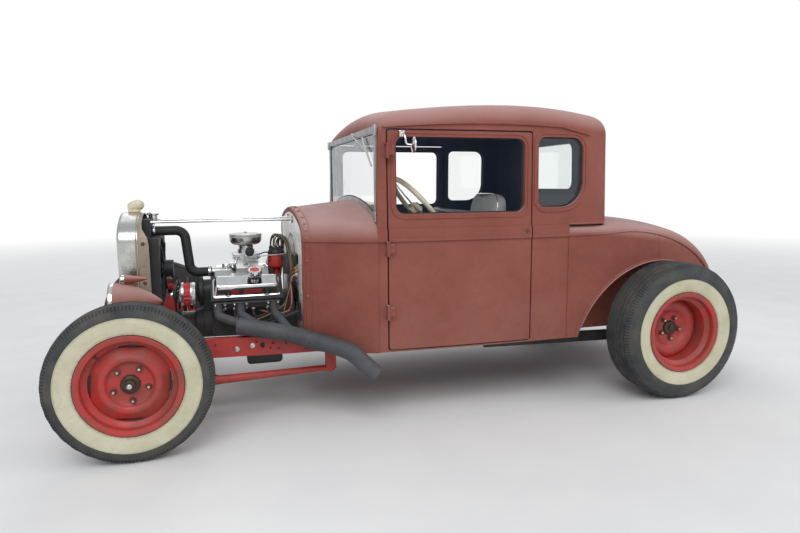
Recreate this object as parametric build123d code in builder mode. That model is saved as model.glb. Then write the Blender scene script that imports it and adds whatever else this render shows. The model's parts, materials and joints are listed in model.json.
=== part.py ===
"""Hot rod coupe: open-engine roadster-era coupe on a ladder frame, modelled as separate pieces.

Frame: +X forward, +Y to the car's left, +Z up, ground at Z = 0, origin under the middle of the length.
Distances "behind the front axle" are positive towards the tail.
"""
import os
from math import cos, sin, radians, sqrt

from build123d import *

os.makedirs("parts", exist_ok=True)

# Overall layout
wheelbase = 2655.0
tail_reach = 3285.0          # front axle to the rearmost point of the tail
seat_gap = 0.3               # clearance left where one piece sits on another
run_gap = 0.3                # radial clearance of a turning fit
panel_gap = 7.0              # shut line of doors and deck lid

# Tyres and rims
front_tyre_r = 330.0
front_tyre_w = 150.0
rear_tyre_r = 358.0
rear_tyre_w = 208.0
rim_flange_r = 207.8
rim_seat_r = 190.0
rim_well_r = 166.0
rim_t = 6.0
front_rim_w = 140.0
rear_rim_w = 190.0
front_flange_y = 789.0       # outer rim flange plane, front
rear_flange_y = 811.0        # outer rim flange plane, rear
front_lug_circle_r = 69.85
rear_lug_circle_r = 57.15
lug_count = 5

# Stations behind the front axle
cowl_front = 740.0
pillar_front = 1069.0
door_front = 1121.0
door_rear = 1846.0
cab_back = 2345.0
arch_centre = 2640.0
arch_r = 543.0
arch_z = 164.5

axle_x = (tail_reach - front_tyre_r) / 2
rear_axle_x = axle_x - wheelbase
front_z = front_tyre_r
rear_z = rear_tyre_r
front_rim_y = front_flange_y - front_rim_w / 2
rear_rim_y = rear_flange_y - rear_rim_w / 2


def back(d):
    """X of a point d behind the front axle."""
    return axle_x - d


def finish(item, label):
    item.part.label = label
    export_step(item.part, "parts/" + label + ".step")


def side_plane(x, y, z, side):
    """Sketch plane through a wheel centre: local x is up, local y is outboard."""
    return Plane(origin=(x, side * y, z), x_dir=(0, 0, 1), z_dir=(-side, 0, 0))


def face_plane(x, y, z, side):
    """Sketch plane facing outboard, local x forward."""
    return Plane(origin=(x, side * y, z), x_dir=(1, 0, 0), z_dir=(0, side, 0))


def closed(points):
    """Face of a closed line profile on the sketch plane in use."""
    Polygon(*points, align=None)


# Wheels
def rim_profile(w):
    h = w / 2
    t = rim_t
    return [
        (rim_flange_r, h), (rim_flange_r, h - t), (rim_seat_r, h - t - 2), (rim_seat_r - 2, h - 30),
        (rim_well_r, h - 44), (rim_well_r, 44 - h), (rim_seat_r - 2, 30 - h), (rim_seat_r, t + 2 - h),
        (rim_flange_r, t - h), (rim_flange_r, -h), (rim_flange_r - t, -h), (rim_seat_r - t, -h + t),
        (rim_seat_r - 2 - t, 34 - h), (rim_well_r - t, 48 - h), (rim_well_r - t, h - 48),
        (rim_seat_r - 2 - t, h - 34), (rim_seat_r - t, h - t), (rim_flange_r - t, h),
    ]


spindle_r = 20.0
hub_r = 38.0
disc_t = 5.0
drum_r = 140.0
drum_depth = 55.0
cap_r = 27.0
front_disc_y = 30.0          # mounting face of the front disc, outboard of the rim centre
rear_disc_y = -25.0          # mounting face of the rear disc, inboard of the rim centre
lug_r = 11.0
lug_len = 16.0

front_disc = [
    (hub_r + run_gap, front_disc_y), (88, front_disc_y), (100, front_disc_y + 14), (116, front_disc_y + 18),
    (132, front_disc_y + 10), (150, front_disc_y - 4), (rim_well_r - rim_t, front_disc_y - 10),
]
rear_disc = [
    (hub_r + run_gap, rear_disc_y), (82, rear_disc_y), (96, rear_disc_y + 14), (112, rear_disc_y + 20),
    (132, rear_disc_y + 24), (150, rear_disc_y + 18), (rim_well_r - rim_t, rear_disc_y + 8),
]


def shifted(points, dy):
    return [(r, y + dy) for r, y in reversed(points)]


def make_wheel(x, y, z, side, rim_w, disc, disc_y, lug_circle, label):
    """Pressed steel wheel with its hub, drum and nuts, turning about Y."""
    spin = Axis((x, side * y, z), (0, 1, 0))
    with BuildPart() as wheel:
        with BuildSketch(side_plane(x, y, z, side)):
            closed(rim_profile(rim_w))
            closed(disc + shifted(disc, -disc_t))
        revolve(axis=spin)
        with BuildSketch(face_plane(x, y + disc_y + 60, z, side)):
            with PolarLocations(rim_well_r - rim_t - 12, 4, start_angle=45):
                Rectangle(14, 70)
        extrude(amount=-110, mode=Mode.SUBTRACT)
        with BuildSketch(side_plane(x, y, z, side)):
            closed([
                (spindle_r + run_gap, disc_y - disc_t), (drum_r, disc_y - disc_t),
                (drum_r, disc_y - disc_t - drum_depth), (drum_r - 8, disc_y - disc_t - drum_depth),
                (drum_r - 8, disc_y - disc_t - 10), (hub_r + 6, disc_y - disc_t - 10),
                (hub_r + 6, disc_y - disc_t - drum_depth), (spindle_r + run_gap, disc_y - disc_t - drum_depth),
            ])
            closed([
                (0, disc_y - disc_t + 14), (spindle_r + run_gap, disc_y - disc_t + 14),
                (spindle_r + run_gap, disc_y - disc_t), (hub_r, disc_y - disc_t), (hub_r, disc_y + 12),
                (cap_r + 4, disc_y + 16), (cap_r, disc_y + 18), (cap_r, disc_y + 34),
                (cap_r - 8, disc_y + 42), (0, disc_y + 44),
            ])
        revolve(axis=spin)
        with BuildSketch(face_plane(x, y + disc_y, z, side)):
            with PolarLocations(lug_circle, lug_count, start_angle=90):
                RegularPolygon(lug_r, 6)
        extrude(amount=lug_len)
        with BuildSketch(face_plane(x, y + disc_y - disc_t, z, side)):
            with PolarLocations(lug_circle, lug_count, start_angle=90):
                Circle(6)
        extrude(amount=lug_len)
    finish(wheel, label)


def make_tyre(x, y, z, side, r, w, rim_w, label):
    """Bias-look tyre seated on the rim, turning about Y."""
    bead = rim_w / 2 - rim_t - 2 - seat_gap
    half = w / 2
    with BuildPart() as tyre:
        with BuildSketch(side_plane(x, y, z, side)):
            with BuildLine():
                Line((rim_seat_r + seat_gap, -bead), (rim_seat_r + seat_gap, bead))
                Line((rim_seat_r + seat_gap, bead), (rim_flange_r + 2, bead + 2))
                ThreePointArc((rim_flange_r + 2, bead + 2), ((rim_flange_r + r) / 2, half), (r - 14, half - 18))
                ThreePointArc((r - 14, half - 18), (r, 0), (r - 14, 18 - half))
                ThreePointArc((r - 14, 18 - half), ((rim_flange_r + r) / 2, -half), (rim_flange_r + 2, -bead - 2))
                Line((rim_flange_r + 2, -bead - 2), (rim_seat_r + seat_gap, -bead))
            make_face()
        revolve(axis=Axis((x, side * y, z), (0, 1, 0)))
    finish(tyre, label)


sides = (("left", 1), ("right", -1))
for name, side in sides:
    make_wheel(axle_x, front_rim_y, front_z, side, front_rim_w, front_disc, front_disc_y,
               front_lug_circle_r, "wheel_front_" + name)
    make_wheel(rear_axle_x, rear_rim_y, rear_z, side, rear_rim_w, rear_disc, rear_disc_y,
               rear_lug_circle_r, "wheel_rear_" + name)
    make_tyre(axle_x, front_rim_y, front_z, side, front_tyre_r, front_tyre_w, front_rim_w,
              "tyre_front_" + name)
    make_tyre(rear_axle_x, rear_rim_y, rear_z, side, rear_tyre_r, rear_tyre_w, rear_rim_w,
              "tyre_rear_" + name)


# Frame
rail_top = 397.0
rail_bottom = 305.0
rail_w = 45.0
rail_y = 400.0               # outer face of the rails
rail_nose_y = 340.0          # outer face at the front horn
rail_nose = -45.0            # front horn, behind the axle when positive
rail_straight = 700.0        # where the rails reach their full width
kick_start = 2250.0
kick_end = 2420.0
kick_rise = 125.0
rail_tail = 3130.0
cross_t = 60.0
cross_low_h = 30.0           # low crossmembers under the gearbox and the propeller shaft
cross_low = (1250.0, 2000.0)
cross_high = (2845.0, rail_tail - 30)
spring_seat_z = 345.0        # underside of the front crossmember
mount_back = 470.0           # engine mounts
mount_in = 190.0
mount_w = 60.0
mount_t = 8.0
mount_z = 348.0

with BuildPart() as frame:
    for side in (1, -1):
        with BuildSketch(Plane.XY.offset(rail_bottom)):
            Polygon((back(rail_nose), side * rail_nose_y), (back(rail_straight), side * rail_y),
                    (back(kick_start), side * rail_y), (back(kick_start), side * (rail_y - rail_w)),
                    (back(rail_straight), side * (rail_y - rail_w)),
                    (back(rail_nose), side * (rail_nose_y - rail_w)), align=None)
        extrude(amount=rail_top - rail_bottom)
        with BuildSketch(Plane.XZ.offset(-side * rail_y)):
            Polygon((back(kick_start), rail_bottom), (back(kick_start), rail_top),
                    (back(kick_end), rail_top + kick_rise), (back(rail_tail), rail_top + kick_rise),
                    (back(rail_tail), rail_bottom + kick_rise + 30),
                    (back(kick_end + 40), rail_bottom + kick_rise + 30), align=None)
        extrude(amount=side * rail_w)
        with Locations((back(mount_back), side * (mount_in + rail_nose_y) / 2, mount_z - mount_t / 2)):
            Box(mount_w, rail_nose_y - mount_in, mount_t)
        with BuildSketch(Plane.YZ.offset(back(mount_back) - mount_t / 2)):
            Polygon((side * (rail_nose_y + 10), rail_bottom + 5), (side * (mount_in + 40), mount_z - mount_t),
                    (side * (rail_nose_y + 10), mount_z - mount_t), align=None)
        extrude(amount=mount_t)
    with Locations((back(0), 0, spring_seat_z + cross_t / 2)):
        Box(cross_t, 2 * (rail_nose_y - rail_w + 8), cross_t)
    for d in cross_high:
        with Locations((back(d), 0, rail_top + kick_rise - cross_t / 2)):
            Box(cross_t, 2 * rail_y - rail_w, cross_t)
    for d in cross_low:
        with Locations((back(d), 0, rail_bottom + cross_low_h / 2)):
            Box(cross_t, 2 * rail_y - rail_w, cross_low_h)
finish(frame, "frame")

# Front axle, spring and steering
kingpin_y = 600.0
kingpin_r = 11.0
boss_r = 24.0
boss_h = 56.0
beam_drop = 120.0
beam_w = 42.0
beam_h = 56.0
beam_flat_y = 440.0
ear_t = 16.0
ear_gap = 0.5
perch_y = 430.0
leaf_w = 50.0
leaf_t = 8.0
leaf_count = 5
spring_drop = 50.0
spring_eye_z = spring_seat_z - seat_gap - leaf_t * leaf_count - spring_drop

with BuildPart() as front_axle:
    with BuildSketch(Plane.YZ.offset(axle_x - beam_w / 2)):
        with BuildLine():
            FilletPolyline((-kingpin_y, front_z + boss_h / 2 - 4), (-kingpin_y + 40, front_z + boss_h / 2 - 4),
                           (-beam_flat_y, front_z - beam_drop + beam_h / 2),
                           (beam_flat_y, front_z - beam_drop + beam_h / 2),
                           (kingpin_y - 40, front_z + boss_h / 2 - 4), (kingpin_y, front_z + boss_h / 2 - 4),
                           (kingpin_y, front_z - boss_h / 2 + 4), (kingpin_y - 50, front_z - boss_h / 2 + 4),
                           (beam_flat_y - 20, front_z - beam_drop - beam_h / 2),
                           (-beam_flat_y + 20, front_z - beam_drop - beam_h / 2),
                           (-kingpin_y + 50, front_z - boss_h / 2 + 4), (-kingpin_y, front_z - boss_h / 2 + 4),
                           radius=2, close=True)
        make_face()
    extrude(amount=beam_w)
    for face_x in (axle_x + beam_w / 2, axle_x - beam_w / 2):
        with Locations((face_x, 0, front_z - beam_drop)):
            Box(24, 2 * beam_flat_y - 60, beam_h - 24, mode=Mode.SUBTRACT)
    for y in (kingpin_y, -kingpin_y):
        with Locations((axle_x, y, front_z)):
            Cylinder(boss_r, boss_h)
            Cylinder(kingpin_r + run_gap, boss_h, mode=Mode.SUBTRACT)
    for y in (perch_y, -perch_y):
        with Locations((axle_x, y, spring_eye_z - seat_gap - 20)):
            Cylinder(13, 40)
    for i in range(leaf_count):
        reach = perch_y - 70 * i
        crown = spring_seat_z - seat_gap - leaf_t * (leaf_count - i)
        droop = spring_drop * (reach / perch_y) ** 2
        with BuildSketch(Plane.YZ.offset(axle_x - leaf_w / 2)):
            with BuildLine():
                lower = ThreePointArc((-reach, crown - droop), (0, crown), (reach, crown - droop))
                upper = ThreePointArc((-reach, crown - droop + leaf_t), (0, crown + leaf_t),
                                      (reach, crown - droop + leaf_t))
                Line(lower @ 0, upper @ 0)
                Line(lower @ 1, upper @ 1)
            make_face()
        extrude(amount=leaf_w)
finish(front_axle, "front_axle")

# Knuckles carry the wheels: yoke, kingpin, backing plate, spindle and the steering arm.
arm_back = 140.0
arm_t = 12.0
arm_z = 155.0
stud_r = 8.0
ring_r = 17.0
ring_h = 18.0
plate_y = front_rim_y + front_disc_y - disc_t - drum_depth - 6
yoke_y = kingpin_y + boss_r + 4
yoke_t = 14.0


def make_knuckle(side, label):
    pin_z = boss_h / 2 + ear_gap
    with BuildPart() as knuckle:
        for s in (1, -1):
            with Locations((axle_x, side * (kingpin_y + yoke_y + yoke_t) / 2, front_z + s * (pin_z + ear_t / 2))):
                Box(2 * boss_r, yoke_y + yoke_t - kingpin_y, ear_t)
            with Locations((axle_x, side * kingpin_y, front_z + s * (pin_z + ear_t / 2))):
                Cylinder(boss_r, ear_t)
        with Locations((axle_x, side * kingpin_y, front_z)):
            Cylinder(kingpin_r, 2 * (pin_z + ear_t) + 8)
        with Locations((axle_x, side * (yoke_y + yoke_t / 2), front_z)):
            Box(2 * boss_r, yoke_t, 2 * (pin_z + ear_t))
        with BuildSketch(face_plane(axle_x, plate_y - 4, front_z, side)):
            Circle(drum_r - 2)
        extrude(amount=4)
        with BuildSketch(face_plane(axle_x, yoke_y, front_z, side)):
            Circle(spindle_r + 8)
        extrude(amount=plate_y - yoke_y)
        with BuildSketch(face_plane(axle_x, yoke_y, front_z, side)):
            Circle(spindle_r)
        extrude(amount=front_rim_y + front_disc_y + 6 - yoke_y)
        with BuildSketch(Plane.XZ.offset(-side * (kingpin_y + 10))):
            Polygon((axle_x - boss_r, front_z - pin_z - ear_t), (axle_x + boss_r - 10, front_z - pin_z - ear_t),
                    (axle_x - arm_back + 60, arm_z - arm_t / 2), (axle_x - arm_back, arm_z - arm_t / 2),
                    (axle_x - arm_back, arm_z + arm_t / 2), (axle_x - arm_back + 40, arm_z + arm_t / 2),
                    align=None)
        extrude(amount=10, both=True)
        with Locations((axle_x - arm_back, side * kingpin_y, arm_z)):
            Cylinder(ring_r, arm_t)
            Cylinder(stud_r, arm_t + 2 * ring_h + 6)
    finish(knuckle, label)


for name, side in sides:
    make_knuckle(side, "knuckle_" + name)

tie_z = arm_z - arm_t / 2 - seat_gap - ring_h / 2
link_z = arm_z + arm_t / 2 + seat_gap + ring_h / 2
tube_r = 8.5
with BuildPart() as tie_rod:
    with Locations((axle_x - arm_back, 0, tie_z)):
        with Locations(Rotation(90, 0, 0)):
            Cylinder(tube_r, 2 * kingpin_y - 2 * ring_r + 8)
    for y in (kingpin_y, -kingpin_y):
        with Locations((axle_x - arm_back, y, tie_z)):
            Cylinder(ring_r, ring_h)
            Cylinder(stud_r + run_gap, ring_h, mode=Mode.SUBTRACT)
finish(tie_rod, "tie_rod")

# Cross steer: pitman arm under the box on the left rail, drag link to the right arm.
pitman_back = 190.0
pitman_y = 262.0
link_from = (axle_x - pitman_back - arm_back, pitman_y)
link_to = (axle_x - arm_back, -kingpin_y)
with BuildPart() as pitman_arm:
    with BuildSketch(Plane.XY.offset(arm_z - arm_t / 2)):
        with Locations((axle_x - pitman_back, pitman_y), link_from):
            Circle(ring_r)
        with Locations((axle_x - pitman_back - arm_back / 2, pitman_y)):
            Rectangle(arm_back, 24)
    extrude(amount=arm_t)
    with Locations((axle_x - pitman_back, pitman_y, arm_z + 20)):
        Cylinder(12, 60)
    with Locations((link_from[0], link_from[1], arm_z + 14)):
        Cylinder(stud_r, 36)
finish(pitman_arm, "pitman_arm")

link_len = sqrt((link_from[0] - link_to[0]) ** 2 + (link_from[1] - link_to[1]) ** 2)
link_plane = Plane(origin=(link_from[0], link_from[1], link_z),
                   x_dir=(0, 0, 1), z_dir=(link_to[0] - link_from[0], link_to[1] - link_from[1], 0))
with BuildPart() as drag_link:
    with BuildSketch(link_plane.offset(ring_r - 4)):
        Circle(tube_r)
    extrude(amount=link_len - 2 * ring_r + 8)
    for x, y in (link_from, link_to):
        with Locations((x, y, link_z)):
            Cylinder(ring_r, ring_h)
            Cylinder(stud_r + run_gap, ring_h, mode=Mode.SUBTRACT)
finish(drag_link, "drag_link")

# Split radius rods from the axle ends back to brackets under the rails.
rod_front = (axle_x - 24, 455.0, 214.0)
rod_rear = (axle_x - 881, 378.0, 212.0)
rod_front_r = 25.0
rod_rear_r = 14.0
with BuildPart() as radius_rods:
    for side in (1, -1):
        a = Vector(rod_front[0], side * rod_front[1], rod_front[2])
        b = Vector(rod_rear[0], side * rod_rear[1], rod_rear[2])
        path = b - a
        with BuildSketch(Plane(origin=a, z_dir=path)):
            Circle(rod_front_r)
        with BuildSketch(Plane(origin=b, z_dir=path)):
            Circle(rod_rear_r)
        loft()
        with Locations((b.X, b.Y, b.Z)):
            Sphere(22)
        with Locations((b.X, b.Y, (b.Z + rail_bottom - seat_gap) / 2)):
            Box(50, 40, rail_bottom - seat_gap - b.Z)
finish(radius_rods, "radius_rods")

# Rear axle
tube_rear_r = 38.0
diff_r = 112.0
pinion_len = 190.0
shaft_tube_r = 30.0
joint_r = 36.0
slip_len = 60.0
gearbox_end = 1460.0         # tail of the gearbox behind the front axle
crank_z = 400.0
rear_plate_y = rear_rim_y + rear_disc_y - disc_t - drum_depth - 6
with BuildPart() as rear_axle:
    with BuildSketch(Plane.XZ.offset(-rear_plate_y)):
        with Locations((rear_axle_x, rear_z)):
            Circle(tube_rear_r)
    extrude(amount=2 * rear_plate_y)
    with BuildSketch(Plane.XZ.offset(-(rear_rim_y + rear_disc_y + 6))):
        with Locations((rear_axle_x, rear_z)):
            Circle(spindle_r)
    extrude(amount=2 * (rear_rim_y + rear_disc_y + 6))
    with Locations((rear_axle_x, 0, rear_z)):
        Sphere(diff_r)
    with BuildSketch(Plane.YZ.offset(rear_axle_x)):
        with Locations((0, rear_z)):
            Circle(60)
    extrude(amount=pinion_len)
    shaft_front = Vector(back(gearbox_end + slip_len), 0, crank_z)
    shaft_rear = Vector(rear_axle_x + pinion_len, 0, rear_z)
    with BuildSketch(Plane.YZ.offset(shaft_front.X)):
        with Locations((0, crank_z)):
            Circle(joint_r)
    extrude(amount=slip_len - seat_gap)
    shaft_line = (shaft_front - shaft_rear).normalized()
    with BuildSketch(Plane(origin=shaft_rear - shaft_line * 10, z_dir=shaft_line)):
        Circle(shaft_tube_r)
    extrude(amount=(shaft_front - shaft_rear).length + 20)
    with BuildSketch(Plane(origin=shaft_rear + shaft_line * 8, z_dir=shaft_line)):
        Circle(joint_r + 4)
    extrude(amount=joint_r)
    with BuildSketch(Plane(origin=shaft_front - shaft_line * (joint_r + 4), z_dir=shaft_line)):
        Circle(joint_r + 4)
    extrude(amount=joint_r)
    for side in (1, -1):
        with BuildSketch(face_plane(rear_axle_x, rear_plate_y - 4, rear_z, side)):
            Circle(drum_r - 2)
        extrude(amount=4)
        with Locations((rear_axle_x + 10, side * 430, rear_z - 60)):
            Box(90, 30, 90)
        a = Vector(rear_axle_x + 30, side * 430, 270)
        b = Vector(back(1720), side * 378, 275)
        with BuildSketch(Plane(origin=a, x_dir=(0, 1, 0), z_dir=b - a)):
            Rectangle(24, 56)
        extrude(amount=(b - a).length)
        with Locations((b.X, b.Y, (b.Z + rail_bottom - seat_gap) / 2)):
            Box(60, 36, rail_bottom - seat_gap - b.Z)
finish(rear_axle, "rear_axle")

# Body shell
sill_z = 335.0
belt_z = 866.0
band_z = 919.0
side_y = 640.0               # half width at the doors
wall = 40.0                  # doors, pillars and roof, lining included
skin = 22.0                  # cowl and tail panels with their flanges
cowl_y = 472.0               # half width at the firewall
cowl_mid = 905.0
cowl_mid_y = 572.0
cowl_side_z = 925.0          # where the cowl top springs from the side, before rounding
cowl_top_z = 1002.0
cowl_rear_z = 1040.0
cowl_round = 100.0
roof_front_z = 1478.0        # crown height over the windshield
roof_top_z = 1538.0
roof_rear_z = 1500.0
roof_edge_drop = 42.0        # crown above the roof's side edge
roof_round = 95.0
corner_r = 150.0             # rear corners of the cab in plan


def cowl_section(d, half, side_top, crown, inset, bottom):
    """Horseshoe section of the cowl, inset inwards by the panel thickness."""
    h = half - inset
    with BuildSketch(Plane.YZ.offset(back(d))) as sk:
        with BuildLine():
            Polyline((-h, side_top - inset), (-h, bottom), (h, bottom), (h, side_top - inset))
            ThreePointArc((-h, side_top - inset), (0, crown - inset), (h, side_top - inset))
        make_face()
        fillet(sk.vertices().group_by(Axis.Y)[-1], cowl_round - inset)
    return sk.sketch


cowl_rows = (
    (cowl_front, cowl_y, cowl_side_z, cowl_top_z),
    (cowl_mid, cowl_mid_y, cowl_side_z + 4, (cowl_top_z + cowl_rear_z) / 2 + 1),
    (pillar_front, side_y - 6, cowl_side_z + 12, cowl_rear_z),
)

with BuildPart() as cowl:
    loft(sections=[cowl_section(d, h, s, c, 0, sill_z) for d, h, s, c in cowl_rows])
    loft(sections=[cowl_section(d, h, s, c, skin, sill_z - 1) for d, h, s, c in cowl_rows], mode=Mode.SUBTRACT)
with BuildPart() as bead_loft:
    loft(sections=[cowl_section(d, h + 7, s, c, 0, sill_z) for d, h, s, c in cowl_rows])
    with Locations((back(900), 0, belt_z)):
        Box(400, 1400, 12, mode=Mode.INTERSECT)
    loft(sections=[cowl_section(d, h - 5, s, c, 0, sill_z) for d, h, s, c in cowl_rows], mode=Mode.SUBTRACT)
with BuildPart() as cowl_full:
    add(cowl.part)
    add(bead_loft.part)
finish(cowl_full, "cowl")


cab_mid = (pillar_front + cab_back) / 2
bow = 8.0                    # how far the sides bow out between pillar and cab back


def plan_outline(inset, front, rear, round_r):
    """Plan of the cab: gently bowed sides, rear corners rounded when round_r is set."""
    y_mid = side_y + bow - inset
    y_end = side_y - 6 - inset
    x0 = back(pillar_front)
    x1 = back(cab_back)
    with BuildSketch() as sk:
        with BuildLine():
            ThreePointArc((x0 + 200, y_end - 20), (back(cab_mid), y_mid), (x1 - 200, y_end - 20))
            Line((x1 - 200, y_end - 20), (x1 - 200, 20 - y_end))
            ThreePointArc((x1 - 200, 20 - y_end), (back(cab_mid), -y_mid), (x0 + 200, 20 - y_end))
            Line((x0 + 200, 20 - y_end), (x0 + 200, y_end - 20))
        make_face()
        with Locations(((back(front) + back(rear)) / 2, 0)):
            Rectangle(rear - front, 3 * side_y, mode=Mode.INTERSECT)
        if round_r:
            fillet(sk.vertices().group_by(Axis.X)[0], round_r)
    return sk.sketch


def roof_section(d, crown, inset):
    edge = crown - roof_edge_drop - 30 - inset
    with BuildSketch(Plane.YZ.offset(back(d))) as sk:
        with BuildLine():
            Polyline((-800, edge), (-800, 0), (800, 0), (800, edge))
            ThreePointArc((-800, edge), (0, crown - inset), (800, edge))
        make_face()
    return sk.sketch


roof_rows = (
    (pillar_front - 200, roof_front_z - 30), (pillar_front + 150, roof_front_z + 22), (1700, roof_top_z),
    (2150, roof_rear_z + 12), (cab_back + 200, roof_rear_z - 90),
)
tail_start = 2060.0
screen_top_z = 1391.0
door_bottom_z = 347.0
door_top_z = 1370.0
rear_window = (265.0, 1093.0, 1350.0)
window_round = 45.0
windows = (
    # front, rear, sill, top, front radius, lower rear radius, upper rear radius
    (1158.0, 1812.0, 987.0, 1341.0, 42.0, 42.0, 42.0),
    (1885.0, 2140.0, 1008.0, 1350.0, 38.0, 120.0, 60.0),
)
quarter_window = windows[1]
reveal = 14.0                # flat margin round each side window, inside its raised lip
lip_w = 9.0
lip_out = 4.0
rail_h = 9.0                 # drip rail
rail_out = 10.0
waist_in = 6.0               # the upper body stands in from the belt by this much
band_out = 4.0
bead_out = 8.0
bead_h = 12.0
tumble = 1.3

def window_outline(front, rear, sill, top, r_front, r_low, r_high, grow):
    """Side view of a window opening, grown on every side."""
    x0 = back(rear) - grow
    x1 = back(front) + grow
    with BuildSketch(Plane.XZ) as sk:
        with BuildLine():
            Polyline((x0, sill - grow), (x1, sill - grow), (x1, top + grow), (x0, top + grow), close=True)
        make_face()
        fillet(sk.vertices().group_by(Axis.X)[-1], r_front + grow)
        fillet(sk.vertices().group_by(Axis.X)[0].sort_by(Axis.Y)[0], r_low + grow)
        fillet(sk.vertices().group_by(Axis.X)[0].sort_by(Axis.Y)[-1], r_high + grow)
    return sk.sketch


def upper_form(grow):
    """Greenhouse and roof as one rounded solid, grown outwards."""
    with BuildPart() as roof:
        loft(sections=[roof_section(d, c, -grow) for d, c in roof_rows])
    with BuildPart() as form:
        with BuildSketch(Plane.XY.offset(band_z)):
            add(plan_outline(waist_in - grow, pillar_front, cab_back + grow, corner_r + grow))
        extrude(amount=700, taper=tumble)
        add(roof.part, mode=Mode.INTERSECT)
        top_edges = form.edges().filter_by(lambda e: e.center().Z > 1250 and e.bounding_box().size.Z < 250)
        fillet(top_edges, roof_round + grow)
    return form.part


upper_outer = upper_form(0)
with BuildPart() as roof_liner:
    loft(sections=[roof_section(d, c, wall) for d, c in roof_rows])
with BuildPart() as upper_inner:
    with BuildSketch(Plane.XY.offset(band_z - 10)):
        add(plan_outline(waist_in + wall, pillar_front + wall, cab_back - wall, corner_r - wall))
    extrude(amount=700, taper=tumble)
    add(roof_liner.part, mode=Mode.INTERSECT)

with BuildPart() as window_lips:
    for row in windows:
        extrude(window_outline(*row, reveal + lip_w), amount=900, both=True)
        extrude(window_outline(*row, reveal), amount=900, both=True, mode=Mode.SUBTRACT)
    add(upper_form(lip_out), mode=Mode.INTERSECT)

rail_front = (back(1100), 1381)
rail_peak = (back(1567), 1405)
rail_rear = (back(2010), 1397)
rail_end = (back(2172), 1361)
with BuildPart() as drip_rails:
    with BuildSketch(Plane.XZ):
        with BuildLine():
            ThreePointArc(rail_front, rail_peak, rail_rear)
            Polyline(rail_rear, rail_end, (rail_end[0], rail_end[1] + rail_h),
                     (rail_rear[0], rail_rear[1] + rail_h))
            ThreePointArc((rail_rear[0], rail_rear[1] + rail_h), (rail_peak[0], rail_peak[1] + rail_h),
                          (rail_front[0], rail_front[1] + rail_h))
            Line((rail_front[0], rail_front[1] + rail_h), rail_front)
        make_face()
    extrude(amount=900, both=True)
    add(upper_form(rail_out), mode=Mode.INTERSECT)

with BuildPart() as shell:
    with BuildSketch(Plane.XY.offset(sill_z)):
        add(plan_outline(0, pillar_front, tail_start, 0))
    extrude(amount=band_z - sill_z)
    with BuildSketch(Plane.XY.offset(belt_z)):
        add(plan_outline(-band_out, pillar_front, tail_start, 0))
    extrude(amount=band_z - belt_z - 3)
    with BuildSketch(Plane.XY.offset(belt_z - bead_h / 2)):
        add(plan_outline(-bead_out, pillar_front, tail_start, 0))
    extrude(amount=bead_h)
    with BuildSketch(Plane.XY.offset(sill_z - 1)):
        add(plan_outline(wall, pillar_front - 10, tail_start + 10, 0))
    extrude(amount=band_z - sill_z + 2, mode=Mode.SUBTRACT)
    add(upper_outer)
    add(window_lips.part)
    add(drip_rails.part)
    add(upper_inner.part, mode=Mode.SUBTRACT)
    with Locations((back(pillar_front), 0, (screen_top_z + sill_z - 10) / 2)):
        Box(4 * wall, 2 * (side_y - 52), screen_top_z - sill_z + 10, mode=Mode.SUBTRACT)
    with BuildSketch(Plane.YZ.offset(back(cab_back) - 60)):
        with Locations((0, (rear_window[1] + rear_window[2]) / 2)):
            RectangleRounded(2 * rear_window[0], rear_window[2] - rear_window[1], window_round)
    extrude(amount=200, mode=Mode.SUBTRACT)
    for row in windows:
        extrude(window_outline(*row, 0), amount=900, both=True, mode=Mode.SUBTRACT)


def door_prism(gap):
    """Side view of the door opening, widened by the gap."""
    with BuildSketch(Plane.XZ) as sk:
        with Locations((back((door_front + door_rear) / 2), (door_bottom_z + door_top_z) / 2)):
            RectangleRounded(door_rear - door_front + 2 * gap, door_top_z - door_bottom_z + 2 * gap, 14)
    return sk.sketch


with BuildPart() as cab:
    add(shell.part)
    extrude(door_prism(panel_gap), amount=900, both=True, mode=Mode.SUBTRACT)
    for s in (1, -1):
        with Locations((back((pillar_front + tail_start) / 2), s * (side_y - wall - 36.5), sill_z + 30)):
            Box(tail_start - pillar_front, 44, 60)
        with Locations((back((pillar_front + tail_start) / 2), s * (side_y - wall), sill_z + 5)):
            Box(tail_start - pillar_front, 40, 10)

hinge_y = 656.0
hinge_back = 1112.0
hinge_heights = (1276.0, 828.0, 530.0)
barrel_r = 8.0
barrel_h = 50.0
pin_r = 4.0
ear_h = 8.0
with BuildPart() as cab_hung:
    add(cab.part)
    for s in (1, -1):
        for z in hinge_heights:
            for up in (1, -1):
                ear_z = z + up * (barrel_h / 2 + 1 + ear_h / 2)
                with Locations((back(hinge_back - 2), s * (hinge_y - 22), ear_z)):
                    Box(10, 60, ear_h)
                with Locations((back(hinge_back), s * hinge_y, ear_z)):
                    Cylinder(barrel_r, ear_h)
            with Locations((back(hinge_back), s * hinge_y, z)):
                Cylinder(pin_r, barrel_h + 2 + 2 * ear_h)
finish(cab_hung, "cab")

for name, s in sides:
    with BuildPart() as door:
        add(shell.part)
        extrude(door_prism(0), amount=-s * 900, mode=Mode.INTERSECT)
        for z in hinge_heights:
            with Locations((back(hinge_back + 20), s * (hinge_y - 26), z)):
                Box(22, 46, barrel_h - 8)
            with Locations((back(hinge_back + 8), s * (hinge_y - 4), z)):
                Box(16, 6, barrel_h - 8)
            with Locations((back(hinge_back), s * hinge_y, z)):
                Cylinder(barrel_r, barrel_h)
                Cylinder(pin_r + run_gap, barrel_h, mode=Mode.SUBTRACT)
    finish(door, "door_" + name)

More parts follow.
